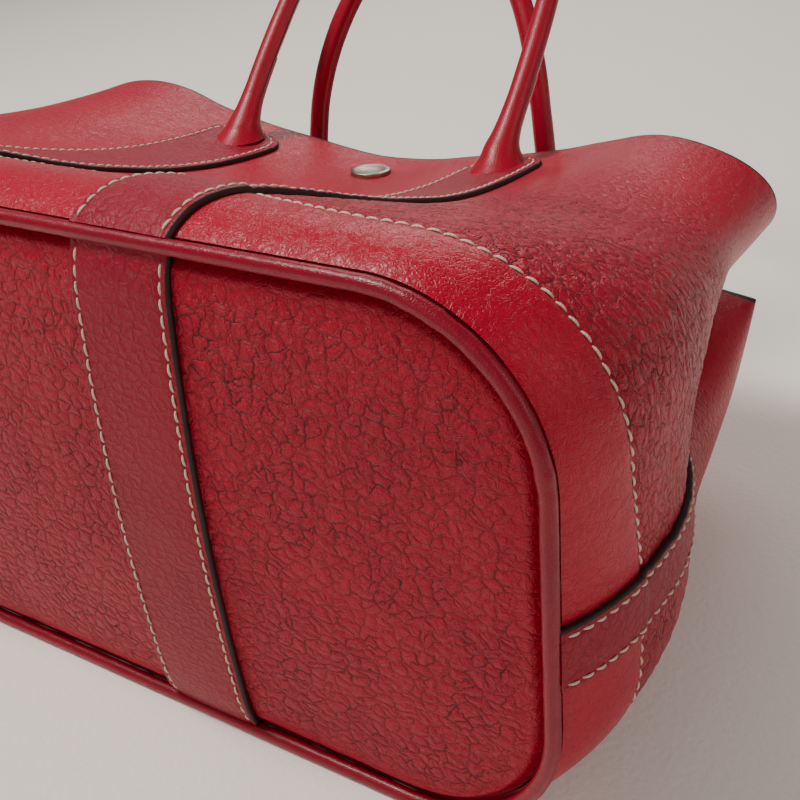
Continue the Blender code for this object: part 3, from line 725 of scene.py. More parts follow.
def bottom_panel():
    inset = PIPING_RADIUS * 0.95
    stride = 4
    columns = whole_steps(2 * HALF_LENGTH, 0.00082, stride) + 1
    rows = whole_steps(DEPTH, 0.00085, stride) + 1
    reach = DEPTH / 2 - inset
    turn = math.pi / 2 * 0.82                    # rows lie closer together near the rim
    z = MIDDLE_Z + reach * np.sin(np.linspace(-1, 1, rows) * turn) / math.sin(turn)
    u = np.linspace(-1, 1, columns)
    uu, zz = np.meshgrid(u, z)
    xx = uu * bottom_half_width(zz, inset)
    past = np.clip(np.abs(zz - MIDDLE_Z) - (DEPTH / 2 - CORNER), 0, None)
    sideways = np.clip(np.abs(xx) - FLAT, 0, None)
    in_corner = (past > 0) & (sideways > 0)
    rim = np.minimum(HALF_LENGTH - inset - np.abs(xx), DEPTH / 2 - inset - np.abs(zz - MIDDLE_Z))
    rim = np.where(in_corner, CORNER - inset - np.hypot(past, sideways), rim)
    corner = smooth((np.hypot(xx / HALF_LENGTH, (zz - MIDDLE_Z) / DEPTH * 1.5) - 0.95) / 0.3)
    calm = np.clip(np.maximum(smooth((0.012 - rim) / 0.012) * 0.75, corner * 0.6), 0, 0.95)
    tuck = 0.0026 * (1 - smooth(rim / 0.0032))
    pillow = PILLOW * smooth(rim / 0.012)
    relief = (pillow - tuck + 0.0005 * waves(xx, zz, 0.045)
              + 0.00010 * pebbles(xx + 1, zz * 1.3 + 1, 0.0047) * (1 - calm)
              + 0.00016 * waves(xx, zz, 0.005, 2.5, 2) * smooth((0.016 - rim) / 0.012))
    y = SHIFT_Y - dome(xx, zz) * DOME_SHARE - relief
    outer = np.stack([xx, y, zz], -1)
    picked = (slice(None, None, stride),) * 2
    inner = np.stack([xx, SHIFT_Y - dome(xx, zz) * DOME_SHARE + LEATHER + 0.0008, zz], -1)[picked]
    cut = np.stack([xx, zz], -1)
    shape = Shape()
    closed_sheet(shape, outer, inner, cut, calm, stride)
    look = finishes()
    return shape.make("bottom_leather", [look["bottom"]], "bag", ["bottom_panel"])


def bottom_lining():
    inset = LEATHER + STIFFENER + LINING + 0.0045
    stride = 2
    z = MIDDLE_Z + np.linspace(-1, 1, 41) * (DEPTH / 2 - inset)
    uu, zz = np.meshgrid(np.linspace(-1, 1, 81), z)
    xx = uu * bottom_half_width(zz, inset)
    face = SHIFT_Y + LEATHER + 2 * GAP + BOARD - dome(xx, zz)
    seen = np.stack([xx, face + LINING + 0.0001 * waves(xx, zz, 0.02), zz], -1)
    hidden = np.stack([xx, face, zz], -1)[::stride, ::stride]
    shape = Shape()
    cut = np.stack([xx, zz], -1)
    closed_sheet(shape, seen[:, ::-1], hidden[:, ::-1], cut[:, ::-1], 1.0 + 0 * xx, stride)
    shape.make("bottom_cloth", [finishes()["lining"]], "bag", ["bottom_lining"])


# ------------------------------------------------------------ piping
def piping():
    """The welt all round the bottom seam, with pinched creases at the corners."""
    count, around = 1240, 18
    s = np.linspace(-HALF_ROUND, HALF_ROUND, count, endpoint=False)
    x, z = seam_outline(np.abs(s))
    x = np.sign(s) * x
    core_x, core_z = seam_outline(np.abs(s), CORNER)
    out = np.stack([np.sign(s) * (np.abs(x) - core_x), np.zeros(count), z - core_z], -1) / CORNER
    out = unit(out)
    angle = np.linspace(0, 2 * math.pi, around, endpoint=False)
    corner = smooth((np.abs(s) - FLAT + 0.01) / 0.02) * smooth((FLAT + ARC + 0.01 - np.abs(s)) / 0.02)
    ss, aa = np.meshgrid(s, angle, indexing="ij")
    pinch = waves(ss, aa * 0.002, 0.0026, 3.0) * (0.025 + 0.075 * corner[:, None])
    radius = PIPING_RADIUS * (1.10 + pinch + 0.03 * waves(ss, aa, 0.03, 50.0, 1))
    centre = np.stack([x, np.full(count, SHIFT_Y - 0.0005), z], -1) + out * 0.0005
    points = (centre[:, None] + out[:, None] * (radius * np.cos(aa))[..., None]
              + np.array([0, -1.0, 0]) * (radius * np.sin(aa))[..., None])
    shape = Shape()
    cut = np.stack([ss, aa * PIPING_RADIUS], -1)
    first = shape.add(points, cut, 1.0)
    shape.grid(first, count, around, closed=True)
    for k in range(around):
        j = (k + 1) % around
        last = first + (count - 1) * around
        shape.face([last + k, last + j, first + j, first + k])
    look = finishes()
    shape.make("piping_welt", [look["piping"]], "bag", ["piping_cover"], outward=True)


# ------------------------------------------------------------ straps
def strap_columns(width):
    """Offsets from the centre line, and the share of the full height there."""
    half = width / 2
    steps = [(0.0, 0.0), (-0.0001, 0.42), (0.0001, 0.78), (0.0006, 0.97), (0.0013, 1.0)]
    near = [STITCH_INSET - 0.0006, STITCH_INSET - 0.0003, STITCH_INSET, STITCH_INSET + 0.0003,
            STITCH_INSET + 0.0007, STITCH_INSET + 0.0016]
    edge = steps + [(d, 1.0) for d in near]
    inner = np.linspace(-half + near[-1], half - near[-1], 12)[1:-1]
    left = [(-half + d, h) for d, h in edge]
    right = [(half - d, h) for d, h in reversed(edge)]
    columns = left + [(a, 1.0) for a in inner] + right
    return np.array([c[0] for c in columns]), np.array([c[1] for c in columns])


def groove(distance):
    return -0.00030 * np.exp(-((distance - STITCH_INSET) / 0.00055) ** 2)


def strap_piece(shape, places, cut, shares_of_height):
    """Closes a strap: its top grid with side walls, a flat underside and two ends."""
    rows, columns = places.shape[:2]
    first = shape.add(places, cut, 0.55)
    skins = np.zeros((rows - 1, columns - 1), int)
    painted = shares_of_height < 0.9
    skins[painted[:-1, :-1] | painted[1:, 1:] | painted[:-1, 1:] | painted[1:, :-1]] = 1
    shape.grid(first, rows, columns, skin_of=skins)
    for r in range(rows - 1):
        a, b = first + r * columns, first + r * columns + columns - 1
        shape.face([a, a + columns, b + columns, b])
    shape.caps(first, rows, columns)


def end_round(across):
    return STRAP_END_ROUND * (1 - np.sqrt(np.clip(1 - np.abs(across) ** 2.6, 0, None)))


def body_strap(name, centre, width, start_y, end_y, replaces, round_end=True):
    """A strap on the body; end_y None runs it to the mouth."""
    across, lift = strap_columns(width)
    top = float(height_at(centre)) + 0.0002 if end_y is None else end_y
    count = 170
    run = np.linspace(start_y, top, count)
    rows = [(y, 1.0) for y in run[:-1]]
    for back, share in ((0.0016, 1.0), (0.0008, 0.97), (0.0003, 0.78), (0.0, 0.42), (0.0, 0.0)):
        rows.append((top - back, share))
    rows = [r for i, r in enumerate(rows) if i >= count - 1 or r[0] < top - 0.0018]
    y = np.array([r[0] for r in rows])
    row_lift = np.array([r[1] for r in rows])
    aa, yy = np.meshgrid(across, y)
    height = np.minimum(lift[None, :], row_lift[:, None])
    if round_end:
        fade = np.clip(1 - (top - yy) / 0.045, 0, 1)
        yy = yy - end_round(np.clip(aa / (width / 2), -1, 1)) * fade
    side = width / 2 - np.abs(aa)
    dent = groove(side)
    if round_end:
        from_end = top - end_round(np.clip(aa / (width / 2), -1, 1)) - yy
        dent = np.minimum(dent, groove(from_end))
    s = centre + aa
    t = yy / height_at(s)
    crown = 0.0003 * (1 - (aa / (width / 2)) ** 2)
    body = STRAP_LEATHER + dent + crown + 0.00012 * waves(s, yy, 0.012)
    under = np.minimum(body_relief(s, yy)[0], 0.0009)
    places = layer(s, np.clip(t, 0, 1), 0.00005 + np.clip(under, -0.0002, 0.001) + height * body)
    beyond = np.clip(t - 1, 0, None) * height_at(s)
    places[..., 1] += beyond
    shape = Shape()
    strap_piece(shape, places, np.stack([aa + centre, yy], -1), height)
    look = finishes()
    return shape.make(name, [look["strap"], look["edge"]], "bag", replaces)


def bottom_strap(name, centre, replaces):
    across, lift = strap_columns(STRAP_WIDTH)
    inset = PIPING_RADIUS * 0.7
    z = np.linspace(MIDDLE_Z + DEPTH / 2 - inset, MIDDLE_Z - DEPTH / 2 + inset, 150)
    aa, zz = np.meshgrid(across, z)
    ends = np.minimum(np.abs(zz - z[0]), np.abs(zz - z[-1]))
    height = np.broadcast_to(lift[None, :], aa.shape)
    body = STRAP_LEATHER + groove(STRAP_WIDTH / 2 - np.abs(aa)) + 0.0003 * (1 - (aa / STRAP_WIDTH * 2) ** 2)
    x = centre + aa
    base = (dome(x, zz) * DOME_SHARE + PILLOW * smooth(ends / 0.012) + 0.0001
            - 0.0009 * (1 - smooth(ends / 0.005)))
    y = SHIFT_Y - base - height * body - 0.00010 * waves(x, zz, 0.013)
    places = np.stack([x, y, zz], -1)
    shape = Shape()
    strap_piece(shape, places, np.stack([x, zz], -1), height)
    look = finishes()
    shape.make(name, [look["strap"], look["edge"]], "bag", replaces)


# ------------------------------------------------------------ stitching
def stitch_shape(length, radius):
    """One slack loop of thread, lying along x; its ends go down into the leather."""
    rings, around = 5, 6
    points = []
    for k in range(rings):
        u = -1 + 2 * (k + 0.5) / rings
        thick = radius * math.sqrt(1 - abs(u) ** 3)
        for j in range(around):
            a = 2 * math.pi * j / around
            points.append((u * length / 2, thick * math.cos(a), thick * math.sin(a) - radius * 1.1 * u * u))
    points += [(-length / 2, 0, -radius * 1.3), (length / 2, 0, -radius * 1.3)]
    faces = []
    for k in range(rings - 1):
        for j in range(around):
            a, b = k * around + j, k * around + (j + 1) % around
            faces.append([a, a + around, b + around, b])
    for j in range(around):
        b = (j + 1) % around
        faces.append([rings * around, j, b])
        faces.append([rings * around + 1, (rings - 1) * around + b, (rings - 1) * around + j])
    return np.array(points), faces


def stitch_line(shape, places, normals, pitch, slant):
    """Stitches at even distances along a line of places."""
    length, radius = pitch * 0.88, pitch * 0.090
    points, faces = stitch_shape(length, radius)
    reach = distances(places)
    number = max(1, int(round(reach[-1] / pitch)))
    at = (np.arange(number) + 0.5) * reach[-1] / number
    mids = at_distances(at, reach, places)
    step = pitch * 0.4
    out = unit(at_distances(at, reach, normals))
    along = unit(at_distances(at + step, reach, places) - at_distances(at - step, reach, places))
    beside = unit(np.cross(out, along))
    turn = slant + 0.10 * (RANDOM.random(number) - 0.5)
    stretch = 1 + 0.14 * (RANDOM.random(number) - 0.5)
    forward = along * np.cos(turn)[:, None] + beside * np.sin(turn)[:, None]
    cross = beside * np.cos(turn)[:, None] - along * np.sin(turn)[:, None]
    mids = mids + out * (radius * 0.62)
    for k in range(number):
        local = points * (stretch[k], 1, 1)
        world = mids[k] + local[:, :1] * forward[k] + local[:, 1:2] * cross[k] + local[:, 2:] * out[k]
        first = shape.add(world, points[:, :2] + (at[k], 0), 1.0)
        shape.faces += [[first + c for c in f] for f in faces]
        shape.skins += [0] * len(faces)


def body_line(shape, s, y, offset, slant):
    sizes = bpy.context.scene.tote_sizes
    s, y = np.asarray(s, float), np.asarray(y, float)
    t = y / height_at(s)
    relief = np.clip(body_relief(s, y)[0], -0.0002, 0.001)
    stitch_line(shape, layer(s, t, relief + offset), normal(s, t), sizes.stitch, slant)


def strap_stitches(name, centre, start_y, end_y):
    """Up one side of a strap, round its end and down the other."""
    reach = STRAP_WIDTH / 2 - STITCH_INSET
    side_top = end_y - STRAP_END_ROUND - STITCH_INSET
    up = np.linspace(start_y, side_top, 90)
    angle = np.linspace(-math.pi / 2, math.pi / 2, 80)
    a = np.sign(np.sin(angle)) * np.abs(np.sin(angle)) ** 0.77
    round_y = end_y - STITCH_INSET - end_round(a)
    s = np.concatenate([np.full(90, -reach), a[1:-1] * reach, np.full(90, reach)])
    y = np.concatenate([up, round_y[1:-1], up[::-1]])
    shape = Shape()
    body_line(shape, centre + s, y, STRAP_LEATHER - 0.00005, -0.13)
    shape.make(name, [finishes()["thread"]], "bag")


def strip_stitches(name, sign):
    shape = Shape()
    reach = STRIP_WIDTH / 2 - STITCH_INSET * 0.85
    for side in (-1, 1):
        y = np.linspace(SEAM_START_Y, 0.222, 160)
        s = np.full(160, sign * (SEAM + side * reach))
        body_line(shape, s, y, STRAP_LEATHER - 0.00005, -0.13)
    shape.make(name, [finishes()["thread"]], "bag")


def bottom_stitches(name, centre):
    shape = Shape()
    sizes = bpy.context.scene.tote_sizes
    inset = PIPING_RADIUS * 1.6
    z = np.linspace(MIDDLE_Z - DEPTH / 2 + inset, MIDDLE_Z + DEPTH / 2 - inset, 120)
    ends = np.minimum(z - z[0], z[-1] - z)
    for side in (-1, 1):
        x = np.full(120, centre + side * (STRAP_WIDTH / 2 - STITCH_INSET))
        base = (dome(x, z) * DOME_SHARE + PILLOW * smooth(ends / 0.012) + STRAP_LEATHER
                - 0.0006 * (1 - smooth(ends / 0.004)))
        places = np.stack([x, SHIFT_Y - base - 0.00003, z], -1)
        stitch_line(shape, places, np.tile([0, -1.0, 0], (120, 1)), sizes.stitch, 0.13)
    shape.make(name, [finishes()["thread"]], "bag")


def topstitching():
    """The line of stitching round the lower body, between the straps and the strips."""
    shape = Shape()
    strip = STRIP_WIDTH / 2 + 0.001
    left, right = STRAP_X - STRAP_WIDTH / 2 - 0.001, STRAP_X + STRAP_WIDTH / 2 + 0.001
    stretches = [(-left, left), (right, SEAM - strip), (SEAM + strip, HALF_ROUND - right),
                 (HALF_ROUND - left, HALF_ROUND + left)]
    mirrored = [(-b, -a) for a, b in stretches[1:3]]
    for start, end in stretches + mirrored:
        s = np.linspace(start, end, 200)
        body_line(shape, s, topstitch_y(s), 0.00025, 0.15)
    shape.make("topstitching", [finishes()["thread"]], "bag")


# ------------------------------------------------------------ handles
def handle_pivot(s, end_y):
    t = (end_y - HANDLE_BASE_BELOW_END) / height_at(s)
    height = GAP + STRAP_LEATHER + BASE_DOME + GAP + HANDLE_RADIUS
    return layer(s, t, height)


def leg_points(front):
    if front:
        flat = [(STRAP_X, 0), (0.0645, 0.022), (0.0630, 0.065), (0.0575, 0.110), (0.0450, 0.152),
                (0.0245, 0.183), (0, 0.1935)]
        lean = FRONT_HANDLE_LEAN
        return [(x, d * math.cos(lean), d * math.sin(lean)) for x, d in flat]
    return [(STRAP_X, 0, 0), (0.0640, 0.0140, 0.0082), (0.0637, 0.0252, 0.0215),
            (0.0630, 0.0290, 0.0450), (0.0597, 0.0292, 0.0900), (0.0535, 0.0345, 0.1220),
            (0.0425, 0.0435, 0.1490), (0.0230, 0.0520, 0.1720), (0, 0.0550, 0.1805)]


def leg_route(points, count):
    """A smooth even arch through the right leg's points and their mirror images."""
    knots = np.array(points + [(-x, y, z) for x, y, z in reversed(points[:-1])])
    steps = distances(knots)
    first = (knots[1] - knots[0]) / steps[1]
    last = (knots[-1] - knots[-2]) / (steps[-1] - steps[-2])
    slopes = spline_slopes(steps, knots, first, last)
    fine = spline(steps, knots, slopes, np.linspace(0, steps[-1], 600))
    far = distances(fine)
    return at_distances(np.linspace(0, far[-1], count), far, fine)


def handle(side, s, end_y):
    """The rolled handle: a tube with a painted seam along its inner side."""
    pivot = handle_pivot(s, end_y)
    count, around = 200, 28
    route = leg_route(leg_points(side == "front"), count) + (0, pivot[1], pivot[2])
    along = unit(np.gradient(route, axis=0))
    inward = route.mean(0) - route
    inward = unit(inward - (inward * along).sum(-1, keepdims=True) * along)
    beside = np.cross(along, inward)
    reach = np.linspace(0, 1, count)[:, None]
    angle = np.linspace(-math.pi, math.pi, around, endpoint=False)
    angle = np.sign(angle) * math.pi * (np.abs(angle) / math.pi) ** 1.35
    ridge = 0.00055 * np.exp(-(angle / 0.24) ** 2) - 0.00025 * np.exp(-((np.abs(angle) - 0.42) / 0.12) ** 2)
    place = reach * 0.44
    radius = HANDLE_RADIUS * 0.995 + ridge[None, :] * smooth(reach / 0.03) * smooth((1 - reach) / 0.03)
    radius = radius + 0.00010 * waves(place, angle[None, :] * 0.004, 0.012)
    points = (route[:, None] + inward[:, None] * (radius * np.cos(angle))[..., None]
              + beside[:, None] * (radius * np.sin(angle))[..., None])
    shape = Shape()
    cut = np.stack(np.broadcast_arrays(angle[None, :] * HANDLE_RADIUS, place), -1)
    first = shape.add(points, cut, 0.8)
    skins = np.zeros((count - 1, around), int)
    painted = [k for k in range(around) if abs(angle[k]) < 0.21 and abs(angle[(k + 1) % around]) < 0.21]
    skins[:, painted] = 1
    shape.grid(first, count, around, closed=True, skin_of=skins)
    shape.caps(first, count, around)
    look = finishes()
    shape.make(side + "_handle_tube", [look["handle"], look["edge"]], side + "_handle",
               [side + "_handle_cover"], outward=True)
    for sign, word in ((1, "right"), (-1, "left")):
        handle_root(side, word, sign, s, end_y, pivot)


def evened(values):
    return np.convolve(np.pad(values, 2, "edge"), np.ones(5) / 5, "valid")


def handle_root(side, word, sign, s, end_y, pivot):
    """The flared leather where a leg grows out of its strap, shaped along the first stretch of the leg."""
    t = (end_y - HANDLE_BASE_BELOW_END) / height_at(s)
    out = normal(s, t)
    up = unit(surface(s, t + 0.004) - surface(s, t - 0.004))
    base = surface(s, t)
    leg = leg_route(leg_points(side == "front"), 200)[:20] + (0, pivot[1], pivot[2])
    count, around = 44, 36
    across = np.array([1.0, 0, 0])
    if side == "front":
        rise, slide = (leg - base) @ out, (leg - base) @ up
        sway = (leg - base - np.outer(rise, out) - np.outer(slide, up))[:, 0]
        lean = math.atan2(rise[12] - rise[0], slide[12] - slide[0])
        fine = 0.0012 + (rise[14] - 0.0012) * np.linspace(0, 1, count) ** 1.3
        above = np.clip(fine - rise[0], 0, None)
        below = np.clip(1 - fine / rise[0], 0, None)
        flare = below ** 1.8
        shrink = 1 - 0.03 * smooth((fine - rise[9]) / (rise[14] - rise[9]))
        wide = (HANDLE_RADIUS * 1.03 + 0.0022 * np.exp(-above / 0.005) * (1 - below) + flare * 0.0078
                + 0.0022 * below * (1 - flare)) * shrink
        long = (HANDLE_RADIUS * 1.03 / math.sin(lean) + 0.0018 * np.exp(-above / 0.005) * (1 - below)
                + flare * 0.0085 + 0.0018 * below * (1 - flare)) * shrink
        slid = np.interp(fine, rise, slide) - 0.0050 * below ** 1.1
        centres = base + out * fine[:, None] + up * slid[:, None]
        centres = centres + across * np.interp(fine, rise, sway)[:, None]
        first_axis, second_axis = across * wide[:, None], up * long[:, None]
    else:
        knots = np.array([
            base - up * 0.0185 + out * 0.0020, base - up * 0.0110 + out * 0.0034,
            base - up * 0.0040 + out * 0.0056, base + (pivot - base) * 0.85 + up * 0.0010,
            leg[3], leg[8], leg[17]])
        steps = distances(knots)
        slopes = spline_slopes(steps, knots, (knots[1] - knots[0]) / steps[1],
                               (knots[-1] - knots[-2]) / (steps[-1] - steps[-2]))
        fine = np.linspace(0, steps[-1], count)
        centres = spline(steps, knots, slopes, fine)
        along = unit(np.gradient(centres, axis=0))
        level = unit(across - (across * along).sum(-1, keepdims=True) * along)
        wide = np.interp(fine, steps, [0.0060, 0.0105, 0.0096, 0.0072, 0.0056, 0.0048, 0.00446])
        thick = np.interp(fine, steps, [0.0003, 0.0016, 0.0030, 0.0046, 0.0050, 0.0047, 0.00446])
        first_axis, second_axis = level * wide[:, None], np.cross(along, level) * thick[:, None]
    angle = np.linspace(0, 2 * math.pi, around, endpoint=False)
    points = (centres[:, None] + first_axis[:, None] * np.cos(angle)[:, None]
              + second_axis[:, None] * np.sin(angle)[:, None])
    points = np.apply_along_axis(evened, 0, points)
    points[..., 0] *= sign
    shape = Shape()
    aa, rr = np.meshgrid(angle * HANDLE_RADIUS, np.linspace(0, 0.036, count))
    first = shape.add(points, np.stack([aa, rr], -1), 0.8)
    shape.grid(first, count, around, closed=True)
    shape.caps(first, count, around)
    made = shape.make("%s_handle_root_%s" % (side, word), [finishes()["handle"]], None,
                      outward=True)
    start, end = pivot.copy(), leg[14].copy()
    start[0] *= sign
    end[0] *= sign
    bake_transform(made)


# ------------------------------------------------------------ snap
def snap_disc(name, s, replaces):
    """A dished disc with a rolled rim, spun down from a cylinder."""
    look = finishes()
    bpy.ops.object.select_all(action="DESELECT")
    depth = 0.0022
    bpy.ops.mesh.primitive_cylinder_add(vertices=56, radius=SNAP_RADIUS, depth=depth,
                                        location=(0, 0, depth / 2))
    made = bpy.context.object
    made.name = made.data.name = name
    bpy.ops.object.mode_set(mode="EDIT")
    bpy.ops.mesh.select_mode(type="FACE")
    dish = ((0.0008, 0.0003), (0.0010, 0.0001), (0.0012, -0.0005), (0.0020, -0.0004), (0.0020, -0.0001))
    bpy.ops.mesh.select_all(action="DESELECT")
    bpy.ops.object.mode_set(mode="OBJECT")
    for face in made.data.polygons:
        face.select = face.normal.z > 0.9
    bpy.ops.object.mode_set(mode="EDIT")
    for inset, lift in dish:
        bpy.ops.mesh.inset(thickness=inset, depth=0)
        bpy.ops.transform.translate(value=(0, 0, lift))
    bpy.ops.object.mode_set(mode="OBJECT")
    bevel = made.modifiers.new("rolled_rim", "BEVEL")
    bevel.width, bevel.segments, bevel.limit_method = 0.0003, 3, "ANGLE"
    bpy.ops.object.modifier_apply(modifier="rolled_rim")
    t = (height_at(s) - SNAP_BELOW_EDGE) / height_at(s)
    out = normal(s, t)
    place = layer(s, t, -SNAP_SUNK)
    side = np.array([1.0, 0, 0])
    up = unit(np.cross(out, side))
    turn = Matrix((np.cross(up, out), up, out)).transposed()
    made.matrix_world = Matrix.Translation(Vector(place)) @ turn.to_4x4()
    bpy.ops.object.transform_apply(location=True, rotation=True, scale=True)
    bpy.ops.object.shade_smooth_by_angle(angle=math.radians(35))
    made.data.materials.append(look["metal"])
    settle(made, "bag", replaces)


# ------------------------------------------------------------ the add-on's parts
class ToteSizes(bpy.types.PropertyGroup):
    pebble: FloatProperty(name="Pebble", description="Size of a pebble of the grain",
                          default=0.0042, min=0.001, unit="LENGTH")
    pebble_depth: FloatProperty(name="Pebble depth", description="Depth of the cracks of the grain",
                                default=0.00085, min=0.0, unit="LENGTH")
    stitch: FloatProperty(name="Stitch", description="Distance from one stitch to the next",
                          default=0.0043, min=0.002, unit="LENGTH")


class ToteColours(bpy.types.PropertyGroup):
    leather: FloatVectorProperty(name="Leather", description="Colour of the body leather",
                                 default=(0.45, 0.0003, 0.0250), subtype="COLOR", size=3)
    shade: FloatVectorProperty(name="Shade", description="Colour in the cracks of the grain",
                               default=(0.060, 0.0004, 0.0030), subtype="COLOR", size=3)
    strap: FloatVectorProperty(name="Strap", description="Colour of the straps",
                               default=(0.32, 0.0008, 0.0220), subtype="COLOR", size=3)
    edge: FloatVectorProperty(name="Edge paint", description="Colour of the painted cut edges",
                              default=(0.022, 0.004, 0.004), subtype="COLOR", size=3)
    thread: FloatVectorProperty(name="Thread", description="Colour of the linen thread",
                                default=(0.78, 0.58, 0.46), subtype="COLOR", size=3)
    metal: FloatVectorProperty(name="Metal", description="Colour of the snap",
                               default=(0.40, 0.36, 0.30), subtype="COLOR", size=3)


class TOTE_OT_body(bpy.types.Operator):
    """Makes the front and back leather, their facings and their linings"""
    bl_idname = "tote.body"
    bl_label = "Body"

    def execute(self, context):
        panel("front_leather", False, 0.00120, 3, ["front_panel"])
        panel("back_leather", True, 0.0020, 3, ["back_panel"])
        facing_t = 1 - FACING_DEPTH / FRONT_HEIGHT
        for side, back in (("front", False), ("back", True)):
            inside_sheet(side + "_facing_leather", back, facing_t * FRONT_HEIGHT, 1.0,
                         -LEATHER - GAP, LINING, "facing", [side + "_facing"])
            inside_sheet(side + "_lining_cloth", back, BOARD + LEATHER + 0.004,
                         facing_t - GAP / FRONT_HEIGHT, LINING_OFFSET, LINING, "lining",
                         [side + "_lining"])
        return {"FINISHED"}


class TOTE_OT_bottom(bpy.types.Operator):
    """Makes the bottom leather and its lining"""
    bl_idname = "tote.bottom"
    bl_label = "Bottom"

    def execute(self, context):
        bottom_panel()
        bottom_lining()
        return {"FINISHED"}


class TOTE_OT_piping(bpy.types.Operator):
    """Makes the piping round the bottom seam"""
    bl_idname = "tote.piping"
    bl_label = "Piping"

    def execute(self, context):
        piping()
        return {"FINISHED"}


class TOTE_OT_straps(bpy.types.Operator):
    """Makes the straps and the strips over the side seams"""
    bl_idname = "tote.straps"
    bl_label = "Straps"

    def execute(self, context):
        for word, sign in (("left", -1), ("right", 1)):
            bottom_strap("bottom_band_" + word, sign * STRAP_X, ["bottom_strap_" + word])
            body_strap("front_band_" + word, sign * STRAP_X, STRAP_WIDTH, TUCKED_Y, STRAP_END_Y,
                       ["front_strap_" + word])
            body_strap("back_band_" + word, HALF_ROUND - sign * STRAP_X, STRAP_WIDTH, TUCKED_Y,
                       BACK_STRAP_END_Y, ["back_strap_" + word])
            body_strap("side_band_" + word, sign * SEAM, STRIP_WIDTH, TUCKED_Y, None,
                       ["side_strip_" + word], False)
        return {"FINISHED"}


class TOTE_OT_stitching(bpy.types.Operator):
    """Sews every strap and the line round the lower body"""
    bl_idname = "tote.stitching"
    bl_label = "Stitching"

    def execute(self, context):
        for word, sign in (("left", -1), ("right", 1)):
            strap_stitches("front_stitches_" + word, sign * STRAP_X, SEAM_START_Y, STRAP_END_Y)
            strap_stitches("back_stitches_" + word, HALF_ROUND - sign * STRAP_X, SEAM_START_Y,
                           BACK_STRAP_END_Y)
            strip_stitches("side_stitches_" + word, sign)
            bottom_stitches("bottom_stitches_" + word, sign * STRAP_X)
        topstitching()
        return {"FINISHED"}


class TOTE_OT_handles(bpy.types.Operator):
    """Makes the two rolled handles and their flared roots"""
    bl_idname = "tote.handles"
    bl_label = "Handles"

    def execute(self, context):
        handle("front", STRAP_X, STRAP_END_Y)
        handle("back", HALF_ROUND - STRAP_X, BACK_STRAP_END_Y)
        return {"FINISHED"}


class TOTE_OT_snap(bpy.types.Operator):
    """Makes the snap's discs"""
    bl_idname = "tote.snap"
    bl_label = "Snap"

    def execute(self, context):
        snap_disc("front_snap_disc", 0.0, ["front_snap_cap"])
        snap_disc("back_snap_disc", HALF_ROUND, ["back_snap_cap"])
        return {"FINISHED"}


class TOTE_OT_inside(bpy.types.Operator):
    """Gives the hidden pieces their finishes"""
    bl_idname = "tote.inside"
    bl_label = "Inside"

    def execute(self, context):
        look = finishes()
        kept = {"front_base_stiffener": "board", "back_base_stiffener": "board", "bottom_board": "board",
                "piping_cord": "cord", "front_handle_core": "cord", "back_handle_core": "cord",
                "front_snap_socket": "metal", "back_snap_stud": "metal"}
        for name, finish in kept.items():
            for material_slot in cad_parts[name].material_slots:
                material_slot.material = look[finish]
        return {"FINISHED"}


CAMERA_PLACE = (0.27159, -0.34739, 0.25636)
CAMERA_AZIMUTH, CAMERA_ELEVATION, CAMERA_ROLL = 0.6094, 0.5078, -0.0904
CAMERA_LENS = 51.40


def lamp(name, place, target, size, power, colour):
    data = bpy.data.lights.new(name, "AREA")
    data.shape, data.size, data.size_y = "RECTANGLE", size[0], size[1]
    data.energy, data.color = power, colour
    made = bpy.data.objects.new(name, data)
    bpy.context.scene.collection.objects.link(made)
    made.location = place
    made.rotation_euler = (Vector(target) - Vector(place)).to_track_quat("-Z", "Y").to_euler()


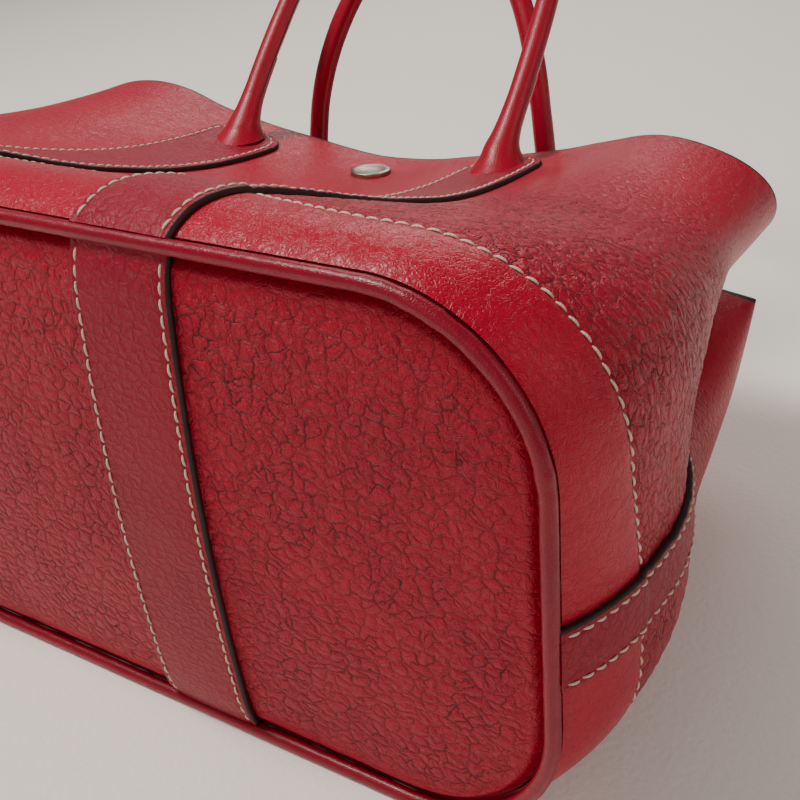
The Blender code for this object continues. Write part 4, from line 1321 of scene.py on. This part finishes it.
class TOTE_OT_stage(bpy.types.Operator):
    """Makes the camera, the lights and the floor"""
    bl_idname = "tote.stage"
    bl_label = "Stage"

    def execute(self, context):
        data = bpy.data.cameras.new("camera")
        data.lens, data.sensor_width, data.sensor_fit = CAMERA_LENS, 36.0, "HORIZONTAL"
        data.clip_start = 0.01
        camera = bpy.data.objects.new("camera", data)
        context.scene.collection.objects.link(camera)
        az, el, roll = CAMERA_AZIMUTH, CAMERA_ELEVATION, CAMERA_ROLL
        ahead = Vector((-math.sin(az) * math.cos(el), math.cos(az) * math.cos(el), -math.sin(el)))
        right = Vector((math.cos(az), math.sin(az), 0))
        up = right.cross(ahead)
        turned_right = right * math.cos(roll) + up * math.sin(roll)
        turned_up = up * math.cos(roll) - right * math.sin(roll)
        turn = Matrix((turned_right, turned_up, -ahead)).transposed()
        camera.matrix_world = Matrix.Translation(CAMERA_PLACE) @ turn.to_4x4()
        context.scene.camera = camera
        bpy.ops.object.select_all(action="DESELECT")
        bpy.ops.mesh.primitive_plane_add(size=9.0, location=(0, 0, 0))
        floor = context.object
        floor.name = "floor"
        floor.data.materials.append(floor_cloth())
        lamp("key", (-0.40, -0.34, 1.20), (0, -0.02, 0.10), (0.40, 0.30), 15.0, (1.0, 0.96, 0.91))
        lamp("fill", (0.25, -1.5, 0.75), (0, 0, 0.08), (1.4, 1.0), 2.4, (1.0, 0.97, 0.94))
        lamp("back", (-0.5, 1.2, 1.0), (0, 0, 0.08), (0.9, 0.7), 8.0, (1.0, 0.95, 0.90))
        lamp("side", (1.3, 0.1, 0.7), (0, 0, 0.08), (0.8, 0.8), 3.0, (1.0, 0.93, 0.84))
        world = bpy.data.worlds.new("studio")
        world.use_nodes = True
        backdrop = world.node_tree.nodes["Background"]
        backdrop.inputs["Color"].default_value = (1.0, 0.97, 0.94, 1)
        backdrop.inputs["Strength"].default_value = 0.16
        context.scene.world = world
        return {"FINISHED"}


OPERATORS = (TOTE_OT_stage, TOTE_OT_body, TOTE_OT_bottom, TOTE_OT_piping, TOTE_OT_straps,
             TOTE_OT_stitching, TOTE_OT_handles, TOTE_OT_snap, TOTE_OT_inside)


class TOTE_PT_panel(bpy.types.Panel):
    """Lists the sizes, the colours and the pieces of the tote"""
    bl_idname = "TOTE_PT_panel"
    bl_label = "Leather tote"
    bl_space_type = "VIEW_3D"
    bl_region_type = "UI"
    bl_category = "Tote"

    def draw(self, context):
        for group in (context.scene.tote_sizes, context.scene.tote_colours):
            for key in group.__annotations__:
                self.layout.prop(group, key)
        for operator in OPERATORS:
            self.layout.operator(operator.bl_idname)


CLASSES = (ToteSizes, ToteColours, *OPERATORS, TOTE_PT_panel)


def register():
    for made in CLASSES:
        bpy.utils.register_class(made)
    bpy.types.Scene.tote_sizes = PointerProperty(type=ToteSizes)
    bpy.types.Scene.tote_colours = PointerProperty(type=ToteColours)


def unregister():
    del bpy.types.Scene.tote_sizes
    del bpy.types.Scene.tote_colours
    for made in reversed(CLASSES):
        bpy.utils.unregister_class(made)


def main():
    register()
    for step in ("stage", "body", "bottom", "piping", "straps", "stitching", "handles", "snap", "inside"):
        getattr(bpy.ops.tote, step)()


if __name__ == "__main__":
    main()
